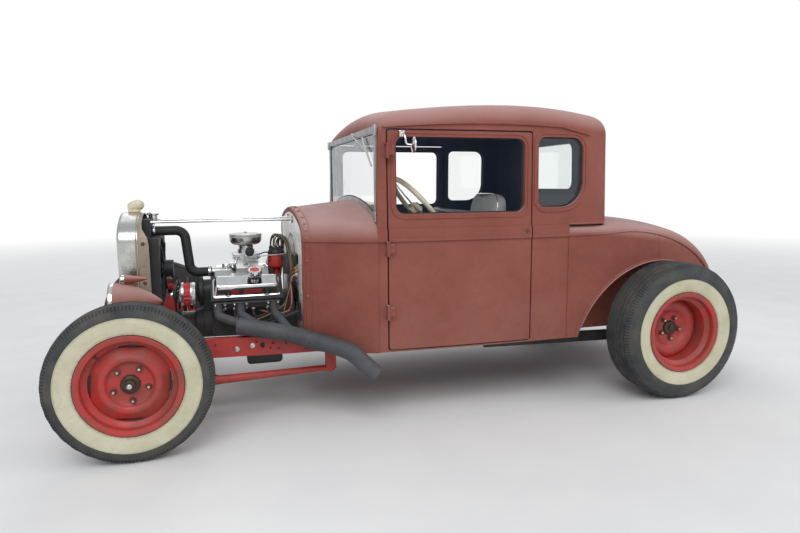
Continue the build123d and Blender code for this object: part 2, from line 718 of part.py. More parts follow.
# Tail
tail_pivot = 2640.0          # the deck's sections turn about this point down to the tail
tail_pivot_z = 400.0
tail_core = 60.0
deck_rows = (
    # behind axle, half width, side top, crown, shoulder radius
    (tail_start, 645, 903, 950, 45),
    (2350, 632, 899, 946, 60),
    (tail_pivot, 602, 878, 922, 80),
)
tail_rows = (
    # angle above the tail, half width at base, half width mid, half width top, side top, crown, radius
    (90, 602, 604, 602, 478, 522, 80),
    (67, 602, 592, 562, 474, 534, 90),
    (45, 602, 575, 518, 492, 574, 100),
    (22, 602, 550, 446, 546, 632, 100),
    (0, 602, 535, 380, 580, 645, 100),
)


def deck_section(d, half, side_top, crown, r, inset):
    h = half - inset
    bottom = sill_z - (1 if inset > 0 else 0)
    with BuildSketch(Plane.YZ.offset(back(d))) as sk:
        with BuildLine():
            Polyline((-h, side_top - inset), (-h, bottom), (h, bottom), (h, side_top - inset))
            ThreePointArc((-h, side_top - inset), (0, crown - inset), (h, side_top - inset))
        make_face()
        fillet(sk.vertices().group_by(Axis.Y)[-1], r - 0.7 * inset)
    return sk.sketch


def tail_section(angle, base, mid, top, side_top, crown, r, inset):
    t = radians(angle)
    core = tail_core - inset
    level = Plane(origin=(back(tail_pivot), 0, tail_pivot_z), x_dir=(0, 1, 0), z_dir=(sin(t), 0, cos(t)))
    with BuildSketch(level) as sk:
        with BuildLine():
            Line((-(base - inset), core), (base - inset, core))
            ThreePointArc((base - inset, core), (mid - inset, (core + side_top - inset) / 2),
                          (top - inset, side_top - inset))
            ThreePointArc((top - inset, side_top - inset), (0, crown - inset), (inset - top, side_top - inset))
            ThreePointArc((inset - top, side_top - inset), (inset - mid, (core + side_top - inset) / 2),
                          (inset - base, core))
        make_face()
        fillet(sk.vertices().group_by(Axis.Y)[-1], r - 0.7 * inset)
    return sk.sketch


def tail_form(inset):
    with BuildPart() as form:
        loft(sections=[deck_section(*row, inset) for row in deck_rows])
        loft(sections=[tail_section(*row, inset) for row in tail_rows])
    return form.part


tail_outer = tail_form(0)
tail_inner = tail_form(skin)
house_y = 462.0
house_t = 10.0
axle_slot = 130.0
arch_lip = 14.0
tail_lip_out = 5.0
bead_turn = (back(2314), 872)
bead_knee = (back(2780), 812)
bead_end = (back(3060), 640)

with BuildPart() as wheel_houses:
    with BuildSketch(Plane.XZ):
        with Locations((back(arch_centre), arch_z)):
            Circle(arch_r + house_t)
        with Locations((back(arch_centre), sill_z + 500)):
            Rectangle(3 * arch_r, 1000, mode=Mode.INTERSECT)
    extrude(amount=800, both=True)
    with Locations((back(arch_centre), 0, 500)):
        Box(4 * arch_r, 2 * house_y, 2000, mode=Mode.SUBTRACT)
    add(tail_outer, mode=Mode.INTERSECT)

with BuildPart() as tail_lips:
    with BuildSketch(Plane.XZ):
        with Locations((back(arch_centre), arch_z)):
            Circle(arch_r + arch_lip)
        with Locations((back(arch_centre), sill_z + 500)):
            Rectangle(3 * arch_r, 1000, mode=Mode.INTERSECT)
    extrude(amount=900, both=True)
    with BuildSketch(Plane.XZ):
        with BuildLine():
            Line((back(tail_start), belt_z - bead_h / 2), (bead_turn[0], bead_turn[1] - bead_h / 2))
            ThreePointArc((bead_turn[0], bead_turn[1] - bead_h / 2), (bead_knee[0] + 4, bead_knee[1] - bead_h / 2),
                          (bead_end[0] + bead_h, bead_end[1]))
            Line((bead_end[0] + bead_h, bead_end[1]), bead_end)
            ThreePointArc(bead_end, (bead_knee[0] - 4, bead_knee[1] + bead_h / 2),
                          (bead_turn[0], bead_turn[1] + bead_h / 2))
            Line((bead_turn[0], bead_turn[1] + bead_h / 2), (back(tail_start), belt_z + bead_h / 2))
            Line((back(tail_start), belt_z + bead_h / 2), (back(tail_start), belt_z - bead_h / 2))
        make_face()
    extrude(amount=900, both=True)
    add(tail_form(-tail_lip_out), mode=Mode.INTERSECT)

with BuildPart() as tail_shell:
    add(tail_outer)
    add(tail_lips.part)
    add(tail_inner, mode=Mode.SUBTRACT)
    add(upper_outer, mode=Mode.SUBTRACT)
    add(wheel_houses.part)
    for s in (1, -1):
        with BuildSketch(Plane.XZ.offset(-s * (house_y + house_t))):
            with Locations((back(arch_centre), arch_z)):
                Circle(arch_r)
        extrude(amount=-s * 400, mode=Mode.SUBTRACT)
    with Locations((rear_axle_x, 0, rear_z)):
        Box(axle_slot, 4 * house_y, axle_slot, mode=Mode.SUBTRACT)
    with Locations((back((tail_start + cab_back - wall) / 2), 0, 850 + 250)):
        Box(cab_back - wall - tail_start, 2 * 590, 500, mode=Mode.SUBTRACT)

lid_front = 2420.0
lid_half = 390.0
lid_bottom_z = 640.0
lid_hinge_y = 250.0
lid_knuckle = 40.0           # length of the lid's half of each hinge
lid_pivot = lid_front - panel_gap / 2
lid_pivot_z = 945.0
leaf_h = 14.0
with BuildPart() as decklid:
    add(tail_outer)
    add(tail_inner, mode=Mode.SUBTRACT)
    with Locations((back(lid_front) - 500, 0, lid_bottom_z + 500)):
        Box(1000, 2 * lid_half, 1000, mode=Mode.INTERSECT)
    for s in (1, -1):
        with Locations((back(lid_pivot + 24), s * lid_hinge_y, lid_pivot_z - barrel_r - 1)):
            Box(44, lid_knuckle, leaf_h)
        with Locations(Location((back(lid_pivot), s * lid_hinge_y, lid_pivot_z), (90, 0, 0))):
            Cylinder(barrel_r, lid_knuckle)
            Cylinder(pin_r + run_gap, lid_knuckle, mode=Mode.SUBTRACT)
finish(decklid, "decklid")
with BuildPart() as rear_body:
    add(tail_shell.part)
    with Locations((back(lid_front) + panel_gap - 500, 0, lid_bottom_z - panel_gap + 500)):
        Box(1000, 2 * (lid_half + panel_gap), 1000, mode=Mode.SUBTRACT)
    for s in (1, -1):
        for end in (1, -1):
            ear_y = s * lid_hinge_y + end * (lid_knuckle / 2 + 1 + ear_h / 2)
            with Locations((back(lid_pivot - 22), ear_y, lid_pivot_z - barrel_r - 1)):
                Box(40, ear_h, leaf_h)
            with Locations(Location((back(lid_pivot), ear_y, lid_pivot_z), (90, 0, 0))):
                Cylinder(barrel_r, ear_h)
        with Locations(Location((back(lid_pivot), s * lid_hinge_y, lid_pivot_z), (90, 0, 0))):
            Cylinder(pin_r, lid_knuckle + 2 + 2 * ear_h)
finish(rear_body, "rear_body")

# Firewall, floor and cabin
fire_t = 6.0
rib_r = 5.0                  # upright ribs pressed into the firewall
rib_pitch = 28.0
rib_count = 31
rod_y = 96.0                 # support rods
rod_z = 945.0
rod_pad_r = 24.0
fire_back = cowl_front + 6
floor_z = rail_top + seat_gap
floor_t = 12.0
tunnel_y = 150.0
tunnel_z = 520.0
tunnel_end = 1500.0
shaft_tunnel_y = 75.0
shaft_tunnel_z = 462.0
panel_t = 10.0
bulkhead = 2238.0
boot_end = 3120.0
bulkhead_top_z = 860.0
boot_floor_z = rail_top + kick_rise + seat_gap
floor_half = side_y - wall - 55 - seat_gap
seat_front = 1180.0
seat_rear = 1625.0
seat_half = 500.0
seat_low_z = tunnel_z + seat_gap
seat_top_z = 640.0
back_top_z = 1003.0
back_t = 120.0
back_lean = 70.0
riser_in = 20.0
riser_len = seat_rear + back_t - seat_front - riser_in

with BuildPart() as cowl_cavity:
    loft(sections=[cowl_section(d, h, s, c, skin + seat_gap, sill_z) for d, h, s, c in cowl_rows])

with BuildPart() as firewall:
    with BuildSketch(Plane.XY.offset(345)):
        with Locations((back(fire_back + fire_t / 2), 0)):
            Rectangle(fire_t, 1400)
        with Locations((back(fire_back), 0)):
            with GridLocations(1, rib_pitch, 1, rib_count):
                Circle(rib_r)
    extrude(amount=800)
    with BuildSketch(Plane.YZ.offset(back(fire_back))):
        with Locations((rod_y, rod_z), (-rod_y, rod_z)):
            Circle(rod_pad_r)
    extrude(amount=rib_r)
    add(cowl_cavity.part, mode=Mode.INTERSECT)
    with Locations((back(fire_back), 0, 345)):
        Box(40, 2 * tunnel_y + 10, 2 * (tunnel_z - 340), mode=Mode.SUBTRACT)
    for s in (1, -1):
        with Locations((back(fire_back), s * (rail_y - rail_w / 2), rail_bottom)):
            Box(40, rail_w + 40, 2 * (floor_z - rail_bottom), mode=Mode.SUBTRACT)
finish(firewall, "firewall")

floor_front = fire_back + fire_t + seat_gap
with BuildPart() as front_floor:
    add(cowl_cavity.part)
    with Locations((back((floor_front + pillar_front) / 2), 0, floor_z + floor_t / 2)):
        Box(pillar_front - floor_front, 2 * floor_half, floor_t, mode=Mode.INTERSECT)

with BuildPart() as floor:
    add(front_floor.part)
    with Locations((back((pillar_front + tail_start) / 2), 0, floor_z + floor_t / 2)):
        Box(tail_start - pillar_front, 2 * floor_half, floor_t)
    with Locations((back((tail_start + bulkhead) / 2), 0, floor_z + floor_t / 2)):
        Box(bulkhead - tail_start, 2 * (house_y - seat_gap), floor_t)
    with Locations((back(bulkhead + panel_t / 2), 0, (floor_z + 560) / 2)):
        Box(panel_t, 2 * (house_y - seat_gap), 560 - floor_z)
    with Locations((back(bulkhead + panel_t / 2), 0, (560 + bulkhead_top_z) / 2)):
        Box(panel_t, 2 * 585, bulkhead_top_z - 560)
    with Locations((back((bulkhead + boot_end) / 2), 0, boot_floor_z + panel_t / 2)):
        Box(boot_end - bulkhead, 2 * 360, panel_t)
    with Locations((back(seat_front + riser_in + riser_len / 2), 0, (floor_z + tunnel_z) / 2)):
        Box(riser_len, 2 * (seat_half - riser_in), tunnel_z - floor_z)
    for x0, x1, y, z in ((floor_front, tunnel_end, tunnel_y, tunnel_z),
                         (tunnel_end, bulkhead, shaft_tunnel_y, shaft_tunnel_z)):
        with Locations((back((x0 + x1) / 2), 0, (floor_z + z) / 2)):
            Box(x1 - x0, 2 * y, z - floor_z)
    for x0, x1, y, z in ((floor_front, tunnel_end - panel_t, tunnel_y - panel_t, tunnel_z - panel_t),
                         (tunnel_end - panel_t, bulkhead + panel_t, shaft_tunnel_y - panel_t,
                          shaft_tunnel_z - panel_t)):
        with Locations((back((x0 + x1) / 2), 0, (floor_z + z) / 2 - 1)):
            Box(x1 - x0, 2 * y, z - floor_z + 2, mode=Mode.SUBTRACT)
finish(floor, "floor")

screen_t = 22.0
screen_front = pillar_front + seat_gap
screen_half = side_y - 52 - seat_gap
screen_low_z = 945.0
screen_rim = 28.0
screen_corner_z = 985.0
screen_crown_z = 1062.0
pane_t = 5.0


def screen_opening(grow, depth):
    """Opening of the windshield frame, bottom edge arched over the cowl."""
    with BuildSketch(Plane.YZ.offset(back(screen_front + depth))) as sk:
        with BuildLine():
            h = screen_half - screen_rim - grow
            Polyline((-h, screen_corner_z + grow), (-h, screen_top_z - screen_rim - grow),
                     (h, screen_top_z - screen_rim - grow), (h, screen_corner_z + grow))
            ThreePointArc((-h, screen_corner_z + grow), (0, screen_crown_z + grow), (h, screen_corner_z + grow))
        make_face()
        fillet(sk.vertices().group_by(Axis.Y)[-1], 18)
    return sk.sketch


with BuildPart() as windshield:
    with Locations((back(screen_front + screen_t / 2), 0, (screen_low_z + screen_top_z - seat_gap) / 2)):
        Box(screen_t, 2 * screen_half, screen_top_z - seat_gap - screen_low_z)
    extrude(screen_opening(0, screen_t), amount=screen_t, mode=Mode.SUBTRACT)
finish(windshield, "windshield")

# Lamps
lamp_y = 350.0
lamp_z = 591.0
lamp_r = 95.0
lamp_ahead = 118.0           # rim face ahead of the axle
lamp_len = 222.0
signal_r = 21.0
signal_z = 700.0
signal_ahead = 70.0
signal_len = 112.0
lens_t = 6.0


def bullet(r, length, nose, cavity):
    """Half profile of a bullet-shaped bucket along local x, tail at -length."""
    with BuildSketch() as sk:
        with BuildLine():
            Polyline((-cavity, 0), (-cavity, r - 5), (0, r - 5), (0, r), (-nose, r))
            ThreePointArc((-nose, r), (-length * 0.6, r * 0.68), (-length, 4))
            Polyline((-length, 4), (-length, 0), (-cavity, 0))
        make_face()
    return sk.sketch


with BuildPart() as headlamps:
    for s in (1, -1):
        lamp_plane = Plane(origin=(axle_x + lamp_ahead, s * lamp_y, lamp_z), x_dir=(1, 0, 0), z_dir=(0, -1, 0))
        with BuildSketch(lamp_plane):
            add(bullet(lamp_r, lamp_len, 24, 20))
        revolve(axis=Axis((0, s * lamp_y, lamp_z), (1, 0, 0)))
        signal_plane = Plane(origin=(axle_x + signal_ahead, s * lamp_y, signal_z),
                             x_dir=(1, 0, 0), z_dir=(0, -1, 0))
        with BuildSketch(signal_plane):
            add(bullet(signal_r, signal_len, 20, 12))
        revolve(axis=Axis((0, s * lamp_y, signal_z), (1, 0, 0)))
        with BuildLine() as stalk:
            FilletPolyline((axle_x + 12, s * 327, rail_top + seat_gap), (axle_x + 12, s * 327, rail_top + 45),
                           (axle_x + 12, s * lamp_y, rail_top + 75), (axle_x + 12, s * lamp_y, lamp_z - 60),
                           radius=14)
        with BuildSketch(Plane(origin=stalk.line @ 0, z_dir=stalk.line % 0)):
            Circle(11)
        sweep(path=stalk.line)
finish(headlamps, "headlamps")

with BuildPart() as glass:
    extrude(screen_opening(seat_gap, screen_t / 2), amount=pane_t)
    for s in (1, -1):
        pane = window_outline(*quarter_window, -seat_gap)
        extrude(pane.moved(Location((0, s * (side_y - 32), 0))), amount=pane_t)
        for ahead, z, r in ((lamp_ahead, lamp_z, lamp_r), (signal_ahead, signal_z, signal_r)):
            with BuildSketch(Plane.YZ.offset(axle_x + ahead - lens_t)):
                with Locations((s * lamp_y, z)):
                    Circle(r - 5 - seat_gap)
            extrude(amount=lens_t)
    with BuildSketch(Plane.YZ.offset(back(cab_back - 22))):
        with Locations((0, (rear_window[1] + rear_window[2]) / 2)):
            RectangleRounded(2 * rear_window[0] - 2 * seat_gap,
                             rear_window[2] - rear_window[1] - 2 * seat_gap, window_round)
    extrude(amount=pane_t)
finish(glass, "glass")

cushion_round = 40.0
back_round = 22.0
rest_low_z = 740.0           # grey headrest pad behind the seat back
rest_top_z = 1090.0
rest_t = 92.0
rest_right = -100.0
rest_left = 300.0
back_low = seat_rear + 4


def back_face(z, off):
    """X of the seat back's front face at height z, moved rearwards by off."""
    return back(back_low + back_lean * (z - seat_low_z) / (back_top_z - seat_low_z) + off)


with BuildPart() as seat_cushion:
    with Locations((back((seat_front + seat_rear) / 2), 0, (seat_low_z + seat_top_z) / 2)):
        Box(seat_rear - seat_front, 2 * seat_half, seat_top_z - seat_low_z)
    fillet(seat_cushion.edges().group_by(Axis.Z)[-1], cushion_round)
with BuildPart() as seat_back:
    with BuildSketch(Plane.XZ.offset(-seat_half)):
        Polygon((back_face(seat_low_z, 0), seat_low_z), (back_face(seat_low_z, back_t), seat_low_z),
                (back_face(back_top_z, back_t), back_top_z), (back_face(back_top_z, 0), back_top_z), align=None)
    extrude(amount=2 * seat_half)
    fillet(seat_back.edges().group_by(Axis.Z)[-1], back_round)
with BuildPart() as headrest:
    with BuildSketch(Plane.XZ.offset(-rest_left)):
        Polygon((back_face(rest_low_z, back_t + seat_gap), rest_low_z),
                (back_face(rest_low_z, back_t + rest_t), rest_low_z),
                (back_face(rest_top_z, back_t + rest_t), rest_top_z),
                (back_face(rest_top_z, back_t + seat_gap), rest_top_z), align=None)
    extrude(amount=rest_left - rest_right)
    fillet(headrest.edges().group_by(Axis.Z)[-1], cushion_round)
with BuildPart() as seat:
    add(seat_cushion.part)
    add(seat_back.part)
    add(headrest.part)
finish(seat, "seat")

# Dashboard and steering
wheel_back = 1361.0
wheel_y = 330.0
wheel_z = 1006.0
wheel_r = 190.0
wheel_rim_r = 13.0
column_r = 20.0
shaft_r = 9.0
column_foot = Vector(back(fire_back + fire_t + 18), wheel_y, 500)
wheel_centre = Vector(back(wheel_back), wheel_y, wheel_z)
column_dir = (wheel_centre - column_foot).normalized()
column_plane = Plane(origin=column_foot, x_dir=(0, 1, 0), z_dir=column_dir)
column_len = (wheel_centre - column_foot).length
box_top_z = 318.0
box_r = 36.0
dash_rear = 1160.0
dash_low_z = 850.0
with BuildPart() as dashboard:
    with BuildSketch(Plane.XZ.offset(-(side_y - wall - 14))):
        Polygon((back(screen_front + screen_t + seat_gap), 1000), (back(screen_front + screen_t + seat_gap), 930),
                (back(dash_rear - 12), dash_low_z), (back(dash_rear), dash_low_z), (back(dash_rear), 935),
                (back(dash_rear - 20), 962), align=None)
    extrude(amount=2 * (side_y - wall - 14))
    with BuildSketch(column_plane):
        Circle(column_r)
    extrude(amount=column_len - 60)
    with BuildSketch(column_plane):
        Circle(shaft_r)
    extrude(amount=column_len + 6)
    with Locations((back(fire_back - rib_r - seat_gap - 2.5), wheel_y, 500)):
        Box(5, 70, 90)
    shaft_from = Vector(back(fire_back - rib_r - 3), wheel_y, 500)
    shaft_to = Vector(back(pitman_back + 10), pitman_y, box_top_z - 26)
    with BuildSketch(Plane(origin=shaft_to, z_dir=shaft_from - shaft_to)):
        Circle(10)
    extrude(amount=(shaft_from - shaft_to).length)
    with Locations((back(pitman_back), pitman_y, (box_top_z + arm_z + 30) / 2)):
        Cylinder(box_r, box_top_z - arm_z - 30)
        Cylinder(12 + run_gap, box_top_z - arm_z - 30, mode=Mode.SUBTRACT)
    with Locations((back(pitman_back), pitman_y, (box_top_z + arm_z + 52) / 2)):
        Cylinder(box_r - 6, box_top_z - arm_z - 52)
    with Locations((back(pitman_back), pitman_y + 38, rail_bottom - seat_gap - 10)):
        Box(80, 60, 20)
finish(dashboard, "dashboard")

hub_plane = Plane(origin=wheel_centre, x_dir=(0, 1, 0), z_dir=column_dir)
with BuildPart() as steering_wheel:
    with BuildSketch(Plane(origin=wheel_centre, x_dir=(0, 1, 0), z_dir=column_dir.cross(Vector(0, 1, 0)))):
        with Locations((wheel_r, 0)):
            Circle(wheel_rim_r)
    revolve(axis=Axis(wheel_centre, column_dir))
    with BuildSketch(hub_plane.offset(-45)):
        Circle(26)
        Circle(shaft_r + run_gap, mode=Mode.SUBTRACT)
    extrude(amount=52)
    with BuildSketch(hub_plane.offset(7)):
        Circle(26)
    extrude(amount=10)
    with BuildSketch(hub_plane.offset(-20)):
        with PolarLocations((wheel_r + 20) / 2, 3, start_angle=-90):
            Rectangle(wheel_r - 24, 22)
    extrude(amount=12)
finish(steering_wheel, "steering_wheel")

# Engine
block_front = 318.0
block_rear = 668.0
deck = 229.0
head_top = 304.0
cover_top = 366.0
head_half = 75.0
bell_r = 160.0
bell_end = 738.0
gearbox_rear = 1280.0
gearbox_w = 180.0
gearbox_low = rail_bottom + cross_low_h + seat_gap
gearbox_top = 472.0
tailshaft_r = 52.0
pan_z = 180.0
pump_z = crank_z + 175
foot_h = 44.0
s45 = sqrt(0.5)


def bank(dist, lateral):
    """Point in the front view: dist along the cylinder bank, lateral towards the valley."""
    return (dist * s45 - lateral * s45, crank_z + dist * s45 + lateral * s45)


def both(points):
    return points + [(-y, z) for y, z in reversed(points)]


block_half = [(14, crank_z + 190), bank(deck, head_half), bank(head_top, head_half), bank(head_top, -head_half),
              bank(deck, -head_half), (130, crank_z + 60), (130, crank_z - 60)]
with BuildPart() as engine:
    with BuildSketch(Plane.YZ.offset(back(block_rear))):
        Polygon(*both(block_half), align=None)
    extrude(amount=block_rear - block_front)
    with Locations((back((block_rear + block_front) / 2), 0, crank_z - 90)):
        Box(block_rear - block_front, 250, 80)
    with Locations((back(576), 0, (pan_z + crank_z - 60) / 2)):
        Box(184, 240, crank_z - 60 - pan_z)
    fillet(engine.edges().group_by(Axis.Z)[0], 30)
    with BuildSketch(Plane.YZ.offset(back(bell_end))):
        with Locations((0, crank_z)):
            Circle(bell_r)
    extrude(amount=bell_end - block_rear)
    with Locations((back((bell_end + gearbox_rear) / 2), 0, (gearbox_low + gearbox_top) / 2)):
        Box(gearbox_rear - bell_end, gearbox_w, gearbox_top - gearbox_low)
    with BuildSketch(Plane.YZ.offset(back(gearbox_end))):
        with Locations((0, crank_z)):
            Circle(tailshaft_r)
    extrude(amount=gearbox_end - gearbox_rear)
    with BuildSketch(Plane.YZ.offset(back(block_front))):
        with Locations((0, crank_z)):
            Circle(95)
        with Locations((0, pump_z)):
            Circle(58)
        with Locations((0, (pump_z + crank_z) / 2)):
            Rectangle(120, pump_z - crank_z)
    extrude(amount=40)
    for s in (1, -1):
        with Locations((back(mount_back), s * (mount_in - 25), mount_z + seat_gap + foot_h / 2)):
            Box(mount_w - 10, 90, foot_h)
finish(engine, "engine")

carb_back = 504.0            # carburettor and air cleaner behind the axle
cover_rear = 655.0
flange_len = 327.0
cover_steps = (
    # from, to, half width below, half width above, set in from the flange's end
    (head_top + seat_gap, head_top + 6, 60, 60, 0),
    (head_top + 6, head_top + 26, 52, 50, 4),
    (head_top + 26, head_top + 32, 54, 54, 2),
    (head_top + 32, cover_top, 49, 40, 6),
)
cover_ribs = (-27, -9, 9, 27)
cover_rib_w = 7.0
cover_rib_h = 5.0
clamp_r = 14.0
clamp_spots = (400.0, 600.0)
breather_back = 530.0
with BuildPart() as engine_covers:
    for s in (1, -1):
        for d0, d1, low, high, inset in cover_steps:
            with BuildSketch(Plane.YZ.offset(back(cover_rear - inset))):
                step = (bank(d0, low), bank(d1, high), bank(d1, -high), bank(d0, -low))
                Polygon(*[(s * y, z) for y, z in step], align=None)
            extrude(amount=flange_len - 2 * inset)
        for lateral in cover_ribs:
            low = lateral - cover_rib_w / 2
            high = lateral + cover_rib_w / 2
            rib_top = cover_top + cover_rib_h
            rib = (bank(cover_top - 1, low), bank(rib_top, low), bank(rib_top, high), bank(cover_top - 1, high))
            with BuildSketch(Plane.YZ.offset(back(cover_rear - 20))):
                Polygon(*[(s * y, z) for y, z in rib], align=None)
            extrude(amount=flange_len - 40)
        for d in clamp_spots:
            y, z = bank(cover_top - 2, 0)
            with BuildSketch(Plane(origin=(back(d), s * y, z), x_dir=(1, 0, 0), z_dir=(0, s * s45, s45))):
                Circle(clamp_r)
            extrude(amount=cover_rib_h + 8)
    with BuildSketch(Plane.XY.offset(bank(cover_top, 0)[1] - 8)):
        with Locations((back(breather_back), bank(cover_top, 0)[0])):
            Circle(20)
    extrude(amount=52)
    with BuildSketch(Plane.XY.offset(bank(cover_top, 0)[1] + 34)):
        with Locations((back(breather_back), bank(cover_top, 0)[0])):
            Circle(30)
    extrude(amount=26)
    with BuildSketch(Plane(origin=(back(carb_back), 0, 0), x_dir=(1, 0, 0), z_dir=(0, -1, 0))):
        Polygon((0, 788), (58, 788), (62, 800), (80, 845), (86, 850), (86, 862), (80, 868), (8, 870), (8, 880),
                (0, 880), align=None)
    revolve(axis=Axis((back(carb_back), 0, 0), (0, 0, 1)))
finish(engine_covers, "engine_covers")

neck_y = 45.0
neck_z = 680.0
hose_r = 24.0
hose_end = 328.0
intake_rear = 610.0
intake_len = 270.0
with BuildSketch() as block_face:
    Polygon(*both(block_half), align=None)
    offset(amount=seat_gap, kind=Kind.INTERSECTION)
with BuildPart() as intake:
    with BuildSketch(Plane.YZ.offset(back(intake_rear))):
        Polygon(*both([(0, crank_z + 170), (120, crank_z + 200), (130, crank_z + 242), (96, crank_z + 262),
                       (60, crank_z + 290)]), align=None)
        add(block_face.sketch, mode=Mode.SUBTRACT)
    extrude(amount=intake_len)
    with Locations((back(carb_back), 0, 712)):
        Box(120, 96, 44)
    with Locations((back(carb_back - 34), 0, 742)):
        Box(46, 90, 30)
    with Locations((back(carb_back + 34), 0, 742)):
        Box(46, 90, 30)
    with BuildSketch(Plane.XY.offset(730)):
        with Locations((back(carb_back), 0)):
            Circle(44)
    extrude(amount=788 - seat_gap - 730)
    with BuildSketch(Plane.YZ.offset(back(420))):
        with Locations((neck_y, neck_z)):
            Circle(hose_r - 4)
    extrude(amount=420 - hose_end + 20)
    with Locations((back(400), neck_y - 10, 660)):
        Box(70, 60, 60)
finish(intake, "intake")

dist_back = 662.0
dist_foot_z = crank_z + 190 + seat_gap
with BuildPart() as distributor:
    with BuildSketch(Plane(origin=(back(dist_back), 0, 0), x_dir=(1, 0, 0), z_dir=(0, -1, 0))):
        Polygon((0, dist_foot_z), (13, dist_foot_z), (20, dist_foot_z + 6), (20, 680), (48, 690), (48, 742),
                (44, 744), (44, 775), (26, 792), (0, 792), align=None)
    revolve(axis=Axis((back(dist_back), 0, 0), (0, 0, 1)))
    with Locations((back(dist_back + 6), 0, 700)):
        Box(80, 70, 30)
    with BuildSketch(Plane.XY.offset(774)):
        with Locations((back(dist_back), 0)):
            Circle(7)
            with PolarLocations(30, 6):
                Circle(6)
    extrude(amount=26)
finish(distributor, "distributor")

belt_back = 165.0
belt_w = 14.0
alt_y = 190.0
alt_z = 592.0
alt_r = 58.0
pulleys = ((0, crank_z, 84.0), (0, pump_z, 62.0), (alt_y, alt_z, 34.0))
with BuildPart() as accessory_drive:
    for y, z, r in pulleys:
        with BuildSketch(Plane.YZ.offset(back(belt_back))):
            with Locations((y, z)):
                Circle(r)
        extrude(amount=25)
    with BuildSketch(Plane.YZ.offset(back(block_front - 40 - seat_gap))):
        with Locations((0, crank_z)):
            Circle(80)
        with Locations((0, pump_z)):
            Circle(24)
    extrude(amount=block_front - 40 - belt_back)
    with BuildSketch(Plane.YZ.offset(back(belt_back + 88))):
        with Locations((alt_y, alt_z)):
            Circle(alt_r)
    extrude(amount=88)
    with BuildSketch(Plane.YZ.offset(back(belt_back + 60))):
        with BuildLine():
            Polyline((alt_y, alt_z - 20), (0, crank_z + 40), (0, crank_z + 90), (alt_y, alt_z + 20), close=True)
        make_face()
    extrude(amount=12)
    with BuildSketch(Plane.YZ.offset(back(belt_back - 5))) as belt:
        with BuildSketch(mode=Mode.PRIVATE) as outer_run:
            for y, z, r in pulleys:
                with Locations((y, z)):
                    Circle(r + 7)
            make_hull()
        with BuildSketch(mode=Mode.PRIVATE) as inner_run:
            for y, z, r in pulleys:
                with Locations((y, z)):
                    Circle(r - 1)
            make_hull()
        add(outer_run.sketch)
        add(inner_run.sketch, mode=Mode.SUBTRACT)
    extrude(amount=belt_w)
finish(accessory_drive, "accessory_drive")

# Headers: three ports a side into a pipe that runs out past the cowl and turns down.
primary_r = 21.0
pipe_r = 40.0
pipe_wall = 3.0
flange_t = 8.0
flange_back = 490.0
ports = (350.0, 458.0, 620.0)
pipe_points = (
    (440, 385, 458), (650, 460, 425), (745, 533, 408), (850, 606, 385), (930, 658, 362), (1040, 688, 250),
)
pipe_bends = [300, 300, 300, 110]
merge_points = ((500, 405, 450), (560, 427, 441), (690, 488, 417))
head_face = bank(deck + (head_top - deck) / 2, -head_half)


def header(side):
    out = Vector(0, side * s45, -s45)
    start = Vector(0, side * head_face[0], head_face[1])
    with BuildPart() as h:
        flange_at = Vector(back(flange_back), 0, 0) + start + out * seat_gap
        with BuildSketch(Plane(origin=flange_at, x_dir=(1, 0, 0), z_dir=out)):
            RectangleRounded(330, 46, 12)
        extrude(amount=flange_t)
        for port, (mx, my, mz) in zip(ports, merge_points):
            a = Vector(back(port), 0, 0) + start + out * flange_t
            b = a + out * 62 + Vector(0, side * 22, 10)
            c = Vector(back(mx), side * my, mz)
            with BuildLine() as run:
                FilletPolyline(a, b, c, radius=34)
            with BuildSketch(Plane(origin=run.line @ 0, z_dir=run.line % 0)):
                Circle(primary_r)
            sweep(path=run.line)
        with BuildLine() as pipe:
            FilletPolyline(*[(back(x), side * y, z) for x, y, z in pipe_points], radius=pipe_bends)
        with BuildSketch(Plane(origin=pipe.line @ 0, z_dir=pipe.line % 0)):
            Circle(pipe_r)
        sweep(path=pipe.line)
        with BuildSketch(Plane(origin=pipe.line @ 1, z_dir=-(pipe.line % 1))):
            Circle(pipe_r - pipe_wall)
        extrude(amount=60, mode=Mode.SUBTRACT)
    return h.part


with BuildPart() as headers:
    add(header(1))
    add(header(-1))
finish(headers, "headers")

# Radiator, shell, hose and fan
rad_rear = 47.0
rad_half = 205.7
rad_low_z = spring_seat_z + cross_t + seat_gap
shell_front = -95.0
shell_rear = -3.0
shell_half = 235.0
shell_low_half = 218.0
shell_low_z = 425.0
shell_side_z = 890.0
shell_top_z = 992.0
shell_round = 90.0
shell_t = 8.0
grille_rim = 38.0
fan_z = 700.0
fan_r = 150.0
fan_opening_r = 158.0
shroud_d = 40.0
hose_y = neck_y


def shell_outline(inset, x):
    with BuildSketch(Plane.YZ.offset(x)) as sk:
        with BuildLine():
            h = shell_half - inset
            low = shell_low_half - inset
            b = shell_low_z + (inset if inset > shell_t else 0) - (1 if 0 < inset <= shell_t else 0)
            Polyline((-h, shell_side_z), (-low, b), (low, b), (h, shell_side_z))
            ThreePointArc((h, shell_side_z), (0, shell_top_z - inset), (-h, shell_side_z))
        make_face()
        fillet(sk.vertices().group_by(Axis.Y)[-1], shell_round - inset)
    return sk.sketch


with BuildPart() as grille_shell:
    extrude(shell_outline(0, back(shell_rear)), amount=shell_rear - shell_front)
    front_edges = grille_shell.faces().sort_by(Axis.X)[-1].outer_wire().edges()
    fillet(front_edges.filter_by(lambda e: e.center().Z > shell_low_z + 5), 14)
    extrude(shell_outline(shell_t, back(shell_rear)), amount=shell_rear - shell_front - 14, mode=Mode.SUBTRACT)
    extrude(shell_outline(grille_rim, back(shell_rear)), amount=200, mode=Mode.SUBTRACT)
finish(grille_shell, "grille_shell")

